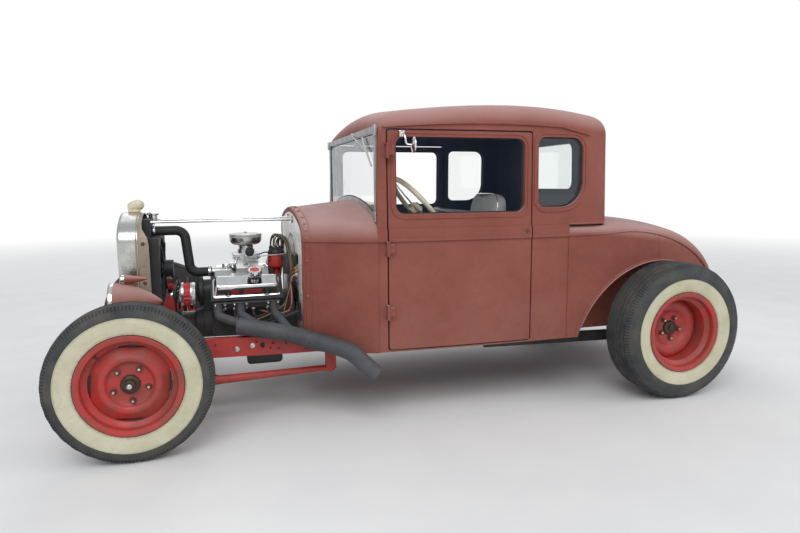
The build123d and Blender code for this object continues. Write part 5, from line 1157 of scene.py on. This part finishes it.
def accessory_pieces():
    """Pulleys with grooves, alternator with vents and red windings, belt and water pump."""
    face = 165
    parts = []
    for i, (y, z, r) in enumerate(PULLEYS):
        rows = [(10, 25), (r - 14, 25), (r - 12, 22), (r - 4, 21), (r - 1, 20.5), (r, 19), (r - 8, 12),
            (r - 8, 11), (r, 4), (r - 1, 2), (r - 10, 1), (r - 12, 0), (10, 0)]
        ob = lathe("pulley_%d" % (i + 1), rows, "black_metal", at(face, y, z), FORWARD, steps=80)
        if i == 0:
            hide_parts("accessory_drive")
        parts.append(prism(6, 0.011, 0.012, at(face - 24, y, z), FORWARD, 0.85))
        parts.append(prism(24, 0.018, 0.004, at(face - 24, y, z), FORWARD, 0.9))
        for t in ring(4):
            if r > 40:
                parts.append(prism(6, 0.006, 0.006, at(face - 24, y + 26 * cos(t), z + 26 * sin(t)), FORWARD,
                    0.85))
    group("pulley_bolts", parts, "nut_bright")
    verts = []
    for (y0, z0), (y1, z1) in zip(hull_line(5.0), hull_line(0.0)):
        verts += [at(face - 9, y0, z0), at(face - 19, y0, z0), at(face - 16, y1, z1), at(face - 12, y1, z1)]
    piece("drive_belt", verts, web(BELT_STEPS, 4, loop=True), "gasket", sharp=40)
    rows = [(16, 88), (40, 87), (52, 82), (56, 76), (58, 70), (58, 62), (56, 60, 1), (55, 46, 1), (55, 34, 1),
        (56, 32), (58, 30), (58, 18), (54, 8), (40, 3), (20, 0), (12, 0)]

    def vents(i, k, t, r, h):
        return (r - 3.5 if (k // 3) % 2 and 6 <= i <= 8 else r), h

    lathe("alternator", rows, ("alloy", "red_moulded"), at(face + 88, 190, 592), FORWARD, steps=96,
        shape=vents)
    fanlets = [block(at(face + 2, 190 + 32 * cos(t), 592 + 32 * sin(t)), (0.006, 0.02, 0.004), 0.0008,
        tilt(t, "X")) for t in ring(10)]
    group("alternator_fan", fanlets, "alloy")
    brackets = [block(at(face + 54, 95, 540), (0.012, 0.15, 0.03), 0.003, tilt(radians(33), "X")),
        block(at(face + 40, 120, 632), (0.008, 0.14, 0.018), 0.002, tilt(radians(-14), "X"))]
    group("alternator_bracket", brackets, "cast")
    lathe("water_pump", [(78, 0), (80, 6), (80, 18), (60, 26), (36, 34), (30, 60), (28, 112), (12, 114)],
        "cast", at(278, 0, 575), FORWARD)
    lathe("crank_damper", [(76, 0), (79, 2), (79, 40), (74, 44), (66, 45), (60, 113), (20, 114)], "cast",
        at(278, 0, 400), FORWARD)


def hull_line(grow):
    """Closed line that the belt takes round the pulleys, seen along the shafts."""
    points = []
    for t in ring(BELT_STEPS):
        points.append((t, max(y * cos(t) + z * sin(t) + r - BELT_DEPTH + grow for y, z, r in PULLEYS)))
    line = []
    for (t0, a), (t1, b) in zip(points, points[1:] + points[:1]):
        det = sin(t1 - t0)
        line.append(((a * sin(t1) - b * sin(t0)) / det, (b * cos(t0) - a * cos(t1)) / det))
    return line


accessory_pieces()


def radiator_dressing():
    """Fins, tubes and louvres of the radiator, and the bead of the grille shell."""
    slats = [block(at(-46, 0, z), (0.012, 0.372, 0.0016), 0, tilt(0.5, "Y")) for z in range(428, 876, 7)]
    group("radiator_fins", slats, "fin_metal", slot="black_metal")
    tubes = [block(at(-44.5, y, 650), (0.004, 0.003, 0.44), 0) for y in range(-180, 181, 12)]
    group("radiator_tubes", tubes, "fin_metal", slot="black_metal")
    louvres = []
    for s in (1, -1):
        for z in list(range(560, 650, 20)) + list(range(770, 860, 20)):
            louvres.append(block(at(48, s * 165, z), (0.006, 0.026, 0.012), 0.001, tilt(0.5, "Y")))
    group("shroud_louvres", louvres, "black_metal")
    lathe("filler_neck", [(22, 0), (22, 24), (30, 26), (31, 30), (31, 35), (27, 38), (10, 39.5), (0.01, 40)],
        "chrome", at(46, -60, 948), UP, steps=48)
    spots = []
    for s in (1, -1):
        for z in (470, 660, 850):
            p = on_skin("grille_shell", at(-16, s * 400, z), (0, -s, 0))[0]
            spots.append((Vector((at(20, 0, 0).x, p.y * 0.985, p.z)), (0, s, 0)))
    bolts("shell_screws", spots, "nut_dark", h=0.004)
    sides = {}
    for s in (1, -1):
        sides[s] = [on_skin("grille_shell", at(-10, s * 400, z), (0, -s, 0))[0] for z in range(440, 881, 40)]
    top = [on_skin("grille_shell", at(-10, y, 1100), DOWN) for y in range(200, -201, -40)]
    line = sides[1] + [found[0] for found in top if found] + sides[-1][::-1]
    curve("shell_rear_bead", line, 0.004, "flange_metal")
    shell_flange(line)


def shell_flange(line):
    """Flat flange behind the shell's edge, deeper at the sides than at the top."""
    verts = []
    faces = []
    middle = 0.65
    for i, p in enumerate(line):
        reach = 0.012 + 0.034 * min(max((0.93 - p.z) / 0.06, 0), 1)
        for shrink in (0.987, 0.975):
            for x in (FRONT_X + 0.006, FRONT_X - reach):
                verts.append(Vector((x, p.y * shrink, middle + (p.z - middle) * shrink)))
        if i:
            a, b = 4 * (i - 1), 4 * i
            faces += [(a, a + 1, b + 1, b), (a + 2, b + 2, b + 3, a + 3), (a, b, b + 2, a + 2),
                (a + 1, a + 3, b + 3, b + 1)]
    last = 4 * (len(line) - 1)
    faces += [(0, 2, 3, 1), (last, last + 1, last + 3, last + 2)]
    piece("shell_rear_flange", verts, faces, "flange_metal")


radiator_dressing()


# Seat: cushions blown up by a short cloth run, with piping and sewn channels
VOXEL = 0.009
FRAMES = 20
INSET = 0.012
EDGE_R = 0.03
COVER_GAP = 0.002


def pad(name, bm):
    """Object of a mesh under construction."""
    mesh = bpy.data.meshes.new(name)
    bm.to_mesh(mesh)
    bm.free()
    ob = bpy.data.objects.new(name, mesh)
    scene.collection.objects.link(ob)
    return ob


def covered(ob, mat):
    """Pad with its cover, fixed to the car."""
    ob.data.materials.clear()
    ob.data.materials.append(MATS[mat])
    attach(ob, "chassis")


def soft_block(name, corners):
    """Closed pad from eight corners, slightly smaller than its solid, ready to swell."""
    bm = bmesh.new()
    vs = [bm.verts.new(c) for c in corners]
    middle = sum(corners, Vector()) / 8
    for v in vs:
        v.co += Vector(copysign(INSET, middle[k] - v.co[k]) for k in range(3))
    for f in ((0, 1, 2, 3), (7, 6, 5, 4), (0, 4, 5, 1), (1, 5, 6, 2), (2, 6, 7, 3), (3, 7, 4, 0)):
        bm.faces.new([vs[i] for i in f])
    bmesh.ops.recalc_face_normals(bm, faces=bm.faces)
    bmesh.ops.bevel(bm, geom=bm.edges[:], offset=EDGE_R, segments=4, profile=0.5, affect="EDGES")
    bmesh.ops.triangulate(bm, faces=bm.faces)
    return pad(name, bm)


def frozen(ob):
    """The object's mesh as its modifiers leave it, with the modifiers gone."""
    graph = bpy.context.evaluated_depsgraph_get()
    mesh = bpy.data.meshes.new_from_object(ob.evaluated_get(graph))
    ob.modifiers.clear()
    ob.data = mesh


def swell(ob, cap, keep_flat):
    """Cloth run under pressure; no point moves past the cap, and the resting side stays flat."""
    mod = ob.modifiers.new("remesh", "REMESH")
    mod.mode = "VOXEL"
    mod.voxel_size = VOXEL
    frozen(ob)
    start = [v.co.copy() for v in ob.data.vertices]
    mod = ob.modifiers.new("cloth", "CLOTH")
    mod.settings.quality = 4
    mod.settings.mass = 0.3
    mod.settings.tension_stiffness = 25
    mod.settings.compression_stiffness = 25
    mod.settings.bending_stiffness = 4
    mod.settings.use_pressure = True
    mod.settings.uniform_pressure_force = 4.0
    mod.settings.effector_weights.gravity = 0
    mod.point_cache.frame_start = 1
    mod.point_cache.frame_end = FRAMES
    for f in range(1, FRAMES + 1):
        scene.frame_set(f)
    graph = bpy.context.evaluated_depsgraph_get()
    puffed = [v.co.copy() for v in ob.evaluated_get(graph).data.vertices]
    ob.modifiers.clear()
    scene.frame_set(1)
    for v, a, b in zip(ob.data.vertices, start, puffed):
        move = b - a
        if move.length > cap:
            move = move.normalized() * cap
        v.co = a + move
    for v in ob.data.vertices:
        v.co = keep_flat(v.co)
    mod = ob.modifiers.new("smooth", "SUBSURF")
    mod.levels = 1
    mod.render_levels = 1
    frozen(ob)
    ob.data.shade_smooth()


def channels(ob, across, lines, width, depth, zone):
    """Sewn channels: narrow valleys where the stitching pulls the cover in."""
    for v in ob.data.vertices:
        gap = min(abs(across(v.co) - line) for line in lines)
        pull = depth * exp(-(gap / width) ** 2)
        v.co += zone(v.co) * pull


def cushion(name, corners, cap, keep_flat, sew):
    """Swollen pad with sewn channels under navy vinyl."""
    ob = soft_block(name, corners)
    swell(ob, cap, keep_flat)
    channels(ob, *sew)
    covered(ob, "navy_vinyl")
    return ob


def hugging(ob, points, core, half_y):
    """The points moved on to a pad's cover, each along a line to the pad's core."""
    bpy.context.view_layer.update()
    found = []
    for p in points:
        middle = core + Vector((0, max(min(p.y - core.y, half_y), -half_y), 0))
        start = middle + (p - middle) * 1.6
        hit, spot, normal, _ = ob.ray_cast(start, (middle - start).normalized())
        found.append(spot + normal * COVER_GAP if hit else p)
    return found


def headrest(keep):
    """Rounded pad that leans with the seat back, with a bright bead round its front edge."""
    lean = atan2(51, 350)
    up = (-sin(lean), 0, cos(lean))
    place = axes(at(1852, 100, 915), (0, 1, 0), up, (cos(lean), 0, sin(lean)))
    rings = [(-36, 150, 128, 60), (-34, 168, 146, 76), (-24, 182, 160, 88), (24, 182, 160, 88),
        (34, 168, 146, 76), (36, 150, 128, 60)]
    count = 48
    verts = [place @ Vector(p) for row in rings for p in rounded(*row, count, 0.0)]
    last = (len(rings) - 1) * count
    faces = web(len(rings), count) + [tuple(reversed(range(count))), tuple(range(last, last + count))]
    bm = bmesh.new()
    vs = [bm.verts.new(v) for v in verts]
    for f in faces:
        bm.faces.new([vs[i] for i in f])
    bmesh.ops.recalc_face_normals(bm, faces=bm.faces)
    ob = pad("headrest_pad", bm)
    swell(ob, 0.016, keep)
    covered(ob, "grey_vinyl")
    bead = []
    for t in ring(64):
        u = copysign(96, cos(t)) + 90 * cos(t)
        v = copysign(74, sin(t)) + 90 * sin(t)
        bead.append(place @ Vector((u / 1000, v / 1000, 0.026)))
    bead = hugging(ob, bead, place.translation, 0.09)
    curve("headrest_bead", bead, 0.004, "chrome", closed=True)


def slab(d_low, d_high, thick, y0, y1, z0, z1):
    """Eight corners of a slab whose front face leans from d_low at z0 to d_high at z1."""
    return [at(d_low, y0, z0), at(d_low + thick, y0, z0), at(d_low + thick, y1, z0), at(d_low, y1, z0),
        at(d_high, y0, z1), at(d_high + thick, y0, z1), at(d_high + thick, y1, z1), at(d_high, y1, z1)]


SEAT_HALF = 0.4995
SEAT_FLOOR = 520.3
BACK_D = 1625
BACK_LEAN = 70
PLEATS = [-0.4 + 0.1 * i for i in range(9)]


def within(value, low, high):
    """Value kept between two limits."""
    return min(max(value, low), high)


def back_face(z, behind):
    """Place along the car of a plane that leans like the seat back, at a height in metres."""
    return at(BACK_D + behind + BACK_LEAN * (z * 1000 - SEAT_FLOOR) / 482.7, 0, 0).x


def seat():
    """Cushion, back and headrest, each kept inside the solid that it stands for."""
    lo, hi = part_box("seat")
    inside = 0.001

    def rest_on(co):
        return Vector((co.x, within(co.y, -SEAT_HALF, SEAT_HALF), max(co.z, 0.5215)))

    def hold(co):
        return Vector((max(co.x, lo.x + inside), within(co.y, -SEAT_HALF, SEAT_HALF),
            within(co.z, 0.5215, 1.0045)))

    def hold_rest(co):
        return Vector((min(max(co.x, lo.x + inside), back_face(co.z, 125.5)), co.y, min(co.z, hi.z - inside)))

    def across(co):
        return co.y

    def top_only(co):
        return Vector(DOWN) if co.z > 0.6 and at(1600, 0, 0).x < co.x < at(1195, 0, 0).x else Vector()

    def front_only(co):
        return Vector(BACKWARD) if co.x > back_face(co.z, 44) and 0.58 < co.z < 0.95 else Vector()

    base = cushion("seat_cushion", slab(1180, 1180, 445, -500, 500, SEAT_FLOOR, 640), 0.024, rest_on,
        (across, PLEATS, 0.007, 0.006, top_only))
    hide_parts("seat")
    back = cushion("seat_back", slab(1629, 1699, 118, -500, 500, SEAT_FLOOR, 1003), 0.022, hold,
        (across, PLEATS, 0.007, 0.006, front_only))
    headrest(hold_rest)
    rim = [at(1186, y, 634) for y in range(-485, 486, 97)]
    edge = [at(1620, -492, 634), at(1400, -495, 637)] + rim + [at(1400, 495, 637), at(1620, 492, 634)]
    edge = hugging(base, edge, at(1400, 0, 575), 0.42)
    curve("seat_cushion_piping", edge, 0.0045, "navy_vinyl")
    side = [(1640, 494, 600), (1654, 495, 710), (1668, 496, 820), (1682, 494, 910), (1694, 488, 990)]
    edge = [at(d, -y, z) for d, y, z in side] + [at(1700, y, 1000) for y in range(-450, 451, 90)]
    edge += [at(d, y, z) for d, y, z in reversed(side)]
    edge = hugging(back, edge, at(1724, 0, 780), 0.43)
    curve("seat_back_piping", edge, 0.0045, "navy_vinyl")


seat()


RIM_R = 0.19
RIM_STEPS = 192
RIM_SIDES = 20


def steering():
    """Steering wheel: a finely ribbed rim, three double spokes and a hub."""
    centre = at(1361, 330, 1006)
    axis = (centre - at(770, 330, 500)).normalized()
    place = facing(centre, axis)
    verts = []
    for t in ring(RIM_STEPS):
        thick = 0.0119 + 0.0010 * abs(cos(t * 24))
        for a in ring(RIM_SIDES):
            rr = RIM_R + thick * cos(a)
            verts.append(place @ Vector((rr * cos(t), rr * sin(t), thick * sin(a))))
    rim = piece("steering_rim", verts, web(RIM_STEPS, RIM_SIDES, loop=True), "cream", body="steering_wheel")
    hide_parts("steering_wheel")
    spokes = []
    for t in (radians(90), radians(210), radians(330)):
        turn = tilt(t, "Z")
        for side in (-0.006, 0.006):
            spoke, sides = block((0.105, side, -0.012), (0.152, 0.006, 0.006), 0.0015)
            spokes.append(([place @ turn @ v for v in spoke], sides))
    group("steering_spokes", spokes, "chrome", body="steering_wheel")
    lathe("steering_hub", [(10, -44), (24, -44), (26, -40), (26, -22), (38, -16), (40, -10), (36, -2),
        (28, 6), (27, 8, 1), (22, 14, 1), (10, 16.5, 1), (0.01, 17, 1)], ("cream", "chrome"), centre, axis,
        body="steering_wheel")


steering()


def dash_pieces():
    """Dials without figures, knobs, pedals and gear lever."""
    dash_x = at(1160.3, 0, 0).x
    for i, (y, z, r) in enumerate(((330, 905, 42), (235, 895, 26), (425, 895, 26), (120, 900, 26),
            (40, 900, 26))):
        centre = Vector((dash_x, y / 1000, z / 1000))
        rows = [(r + 4, 0), (r + 4, 3), (r + 1, 5.5), (r - 1, 5), (r - 1.5, 1.5, 1), (0.01, 1.5, 1)]
        lathe("dial_%d" % (i + 1), rows, ("chrome", "dial_face"), centre, BACKWARD)
        marks = []
        for k in range(11):
            t = radians(-135 + 27 * k)
            c = centre + Vector((-0.0018, (r - 6) / 1000 * sin(t), (r - 6) / 1000 * cos(t)))
            marks.append(block(c, (0.0006, 0.0015, 0.005 if k % 5 else 0.008), 0, tilt(-t, "X")))
        c = centre + Vector((-0.0026, 0, 0))
        marks.append(block(c + Vector((0, -0.006 * r / 26, 0.006 * r / 26)), (0.0006, 0.0016, r / 1300), 0,
            tilt(0.8, "X")))
        group("dial_marks_%d" % (i + 1), marks, "dial_mark")
    knobs = []
    for y in (-60, -110, -160, 180):
        knobs.append(prism(24, 0.004, 0.02, Vector((dash_x, y / 1000, 0.885)), BACKWARD, 1.0))
        knobs.append(prism(24, 0.010, 0.012, Vector((dash_x - 0.016, y / 1000, 0.885)), BACKWARD, 0.85))
    group("dash_knobs", knobs, "cream")
    pedals = [block(at(930, y, 560), (0.012, 0.075, 0.055), 0.004, tilt(0.6, "Y")) for y in (262, 398)]
    pedals.append(block(at(905, 470, 520), (0.012, 0.05, 0.15), 0.004, tilt(0.7, "Y")))
    group("pedal_pads", pedals, "gasket", slot="black_plastic")
    for y in (262, 398):
        curve("pedal_arm_%d" % y, [at(925, y, 555), at(900, y, 620), at(860, y, 700), at(800, y, 760),
            at(754, y, 775)], 0.006, "black_metal")
    curve("throttle_pedal_arm", [at(900, 470, 520), at(850, 470, 560), at(800, 465, 620), at(754, 460, 650)],
        0.005, "black_metal")
    curve("shift_lever", [at(1110, 0, 520), at(1112, 0, 600), at(1150, 2, 690), at(1180, 4, 740)], 0.007,
        "chrome")
    lathe("shift_boot", [(60, 0), (58, 6), (46, 10), (44, 18), (36, 22), (34, 30), (24, 34), (21, 42),
        (9, 50)], "gasket", at(1110, 0, 520), UP, steps=48, slot="black_plastic")
    lathe("shift_knob", [(0.01, -22), (8, -21), (17, -14), (21, -2), (20, 8), (14, 16), (6, 20),
        (0.01, 20.5)], "cream", at(1185, 4.5, 752), (-0.3, 0, 1), steps=48)


dash_pieces()


def door_cards():
    """Pleated lining of each door with its window crank and its handle."""
    for s, word in SIDES:
        body = "door_" + word
        verts = []
        faces = []
        nx, nz = 66, 24
        d0, d1, z0, z1 = 1150.0, 1815.0, 380.0, 900.0
        for k in range(nz + 1):
            for i in range(nx + 1):
                d = d0 + (d1 - d0) * i / nx
                z = z0 + (z1 - z0) * k / nz
                pleat = abs(sin(pi * (d - d0) / 66.5)) ** 0.5
                edge = min(i, nx - i, k, nz - k)
                puff = 0.0 if edge == 0 else (2.0 if edge == 1 else 2.0 + 5.0 * pleat * (z < 760))
                verts.append(at(d, s * (598.5 - puff), z))
        for k in range(nz):
            for i in range(nx):
                a = k * (nx + 1) + i
                faces.append((a, a + 1, a + nx + 2, a + nx + 1))
        base = len(verts)
        for d, z in ((d0, z0), (d1, z0), (d1, z1), (d0, z1)):
            verts.append(at(d, s * 599.8, z))
        rim = ([k for k in range(nx + 1)], [k * (nx + 1) + nx for k in range(nz + 1)],
            [nz * (nx + 1) + nx - k for k in range(nx + 1)], [(nz - k) * (nx + 1) for k in range(nz + 1)])
        for n, row in enumerate(rim):
            faces.append(tuple(row) + (base + (n + 1) % 4, base + n))
        faces.append((base + 3, base + 2, base + 1, base))
        piece("door_card_" + word, verts, faces, "navy_vinyl", body=body, slot="upholstery", sharp=60)
        hub = at(1330, s * 591, 800)
        lathe("window_crank_base_" + word, [(20, 0), (20, 4), (14, 9), (8, 18), (0.01, 20)], "chrome", hub,
            (0, -s, 0), body=body, steps=48)
        curve("window_crank_" + word, [hub + Vector((0, -s * 0.016, 0)),
            hub + Vector((-0.04, -s * 0.018, -0.03)), hub + Vector((-0.09, -s * 0.024, -0.06))], 0.005,
            "chrome", body=body)
        lathe("window_crank_knob_" + word, [(0.01, 26), (8, 25), (10, 20), (9, 6), (6, 0), (0.01, 0)],
            "black_plastic", hub + Vector((-0.09, -s * 0.024, -0.06)), (0, -s, 0), body=body, steps=32)
        pull = at(1740, s * 591, 815)
        lathe("door_handle_base_" + word, [(17, 0), (17, 4), (10, 8), (8, 18), (0.01, 19)], "chrome", pull,
            (0, -s, 0), body=body, steps=48)
        curve("door_handle_" + word, [pull + Vector((0, -s * 0.015, 0)),
            pull + Vector((0.05, -s * 0.02, 0.004)), pull + Vector((0.1, -s * 0.018, -0.004))], 0.006,
            "chrome", body=body)


door_cards()


def mirrors():
    """Round mirror on the left door and the inside mirror."""
    arm = [at(1182, 632, 1352), at(1182, 668, 1353), at(1185, 684, 1338), at(1188, 688, 1302),
        at(1206, 694, 1299), at(1214, 698, 1299)]
    ob = curve("mirror_arm", arm, 0.0045, "chrome", body="door_left")
    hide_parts("mirror")
    rows = [(0.01, -2), (12, -1), (28, 3), (34.5, 6), (35.8, 8.5), (35.8, 10.5), (33.5, 11.2), (33, 10, 1),
        (0.01, 10, 1)]
    lathe("mirror_head", rows, ("chrome", "mirror_glass"), at(1212, 698, 1299), BACKWARD, body="door_left",
        steps=72)
    group("mirror_clamp", [block(at(1182, 640, 1352), (0.024, 0.012, 0.03), 0.003)], "chrome",
        body="door_left")
    curve("inside_mirror_stem", [at(1100, 0, 1390), at(1118, 0, 1374), at(1128, 0, 1358)], 0.004, "chrome")
    level = axes(at(1131, 0, 1350), (0, 1, 0), UP, BACKWARD)
    stack("inside_mirror", [(-6, 88, 18, 18), (0, 92, 22, 20), (5, 92, 22, 20), (5.2, 89, 19, 18, 1),
        (4.6, 88, 18, 18, 1)], ["black_plastic", "mirror_glass"], level)


mirrors()


def rail_side(d):
    """Distance of a frame rail's outer face from the middle of the car."""
    return 340 + 60 * min((d + 45) / 745, 1)


def chassis_pieces():
    """Bolts of the frame, clips of the leaf spring, brake lines and kingpin caps."""
    spots = []
    bright = []
    for s, word in SIDES:
        for d, z in ((428, 342), (501, 355)):
            bright.append((at(d, s * (rail_side(d) + 0.2), z), (0, s, 0)))
        for d, z in ((330, 368), (520, 372), (585, 340), (600, 362), (625, 335), (660, 358), (1250, 350),
                (2000, 350)):
            spots.append((at(d, s * (rail_side(d) + 0.1), z), (0, s, 0)))
        # Each hole is a ring of frame paint round a flat dark disc, a painted shade of the hole's inside
        lathe("frame_hole_" + word, [(17, 0), (17, 1.2), (14.5, 1.6), (14, 0.6, 1), (0.01, 0.5, 1)],
            ("frame_paint", "gasket"), at(551, s * 388, 356), (0, s, 0), steps=40)
    bolts("frame_buttons", bright, "nut_bright", r=0.0085, h=0.006, sides=24, top=0.6)
    bolts("frame_bolts", spots, "nut_dark", r=0.0045, h=0.003)
    clips = []
    for s in (1, -1):
        for y in (120, 250):
            clips.append(block(at(0, s * y, 322 - y * y / 185000 * 50), (0.06, 0.022, 0.046), 0.003))
    for y in (-38, 38):
        clips.append(block(at(0, y, 322), (0.066, 0.014, 0.066), 0.004))
    group("spring_clips", clips, "black_metal")
    spots = [(at(dx, y, 407), UP) for dx in (-20, 20) for y in (-38, 38)]
    bolts("spring_bolts", spots, "nut_dark", r=0.009, h=0.009)
    grease = [(at(883, s * 378, 234), UP) for s in (1, -1)]
    bolts("rod_end_fittings", grease, "brass", r=0.005, h=0.012)
    for s, word in SIDES:
        curve("brake_line_" + word, [at(60, s * 318, 401), at(200, s * 330, 401), at(420, s * 348, 401),
            at(600, s * 360, 401), at(690, s * 368, 401)], 0.003, "bare_metal")
        grease = [(at(0, s * 600, z), (0, 0, copysign(1, z - 330))) for z in (378.5, 281.5)]
        bolts("kingpin_caps_" + word, grease, "nut_dark", body="knuckle_" + word, r=0.012, h=0.006, sides=24)


chassis_pieces()


# Studio: lights and floor
def studio():
    """White background for the camera, pale light from all sides and three lamps."""
    world = bpy.data.worlds.new("studio")
    scene.world = world
    world.use_nodes = True
    nt = world.node_tree
    nt.nodes.clear()
    out = nt.nodes.new("ShaderNodeOutputWorld")
    path = nt.nodes.new("ShaderNodeLightPath")
    seen = nt.nodes.new("ShaderNodeMath")
    seen.operation = "MAXIMUM"
    nt.links.new(path.outputs["Is Camera Ray"], seen.inputs[0])
    nt.links.new(path.outputs["Is Transmission Ray"], seen.inputs[1])
    soft = nt.nodes.new("ShaderNodeBackground")
    soft.inputs["Color"].default_value = (0.93, 0.96, 1.0, 1.0)
    soft.inputs["Strength"].default_value = 0.62
    white = nt.nodes.new("ShaderNodeBackground")
    white.inputs["Color"].default_value = (1, 1, 1, 1)
    mix = nt.nodes.new("ShaderNodeMixShader")
    nt.links.new(seen.outputs[0], mix.inputs[0])
    nt.links.new(soft.outputs[0], mix.inputs[1])
    nt.links.new(white.outputs[0], mix.inputs[2])
    nt.links.new(mix.outputs[0], out.inputs["Surface"])
    for name, place, size, power in (("key", (2.5, 5.5, 6.0), 5.0, 260), ("fill", (-5.0, 3.5, 4.5), 4.0, 90),
            ("rim", (0.0, -5.0, 5.0), 5.0, 110)):
        lamp = bpy.data.lights.new(name, "AREA")
        lamp.size = size
        lamp.energy = power
        ob = bpy.data.objects.new(name, lamp)
        scene.collection.objects.link(ob)
        ob.location = place
        ob.rotation_euler = (Vector((0, 0, 0.6)) - Vector(place)).to_track_quat("-Z", "Y").to_euler()


studio()


def ground():
    """Floor that fades to white in the distance."""
    mesh = bpy.data.meshes.new("floor_plane")
    mesh.from_pydata([(-60, -60, 0), (60, -60, 0), (60, 60, 0), (-60, 60, 0)], [], [(0, 1, 2, 3)])
    ob = bpy.data.objects.new("floor_plane", mesh)
    scene.collection.objects.link(ob)
    g = Graph("floor_pale")
    dist = g.add("ShaderNodeVectorMath", operation="LENGTH")
    g.put(dist.inputs[0], g.coord)
    far = g.ramp(dist.outputs["Value"], 4.5, 12.0)
    seen = g.add("ShaderNodeLightPath")
    any_seen = g.math("MAXIMUM", seen.outputs["Is Camera Ray"], seen.outputs["Is Transmission Ray"])
    any_seen = g.math("MAXIMUM", any_seen, seen.outputs["Is Glossy Ray"])
    near = g.add("ShaderNodeBsdfDiffuse")
    g.put(near.inputs["Color"], g.mix(g.ramp(g.noise(3, 3), 0.3, 0.7), (0.76, 0.76, 0.76), (0.8, 0.8, 0.79)))
    glow = g.add("ShaderNodeEmission")
    glow.inputs["Strength"].default_value = 1.0
    m = g.add("ShaderNodeMixShader")
    g.put(m.inputs[0], g.math("MULTIPLY", far, any_seen))
    g.put(m.inputs[1], near.outputs[0])
    g.put(m.inputs[2], glow.outputs[0])
    g.put(g.out.inputs["Surface"], m.outputs[0])
    mesh.materials.append(g.mat)


ground()
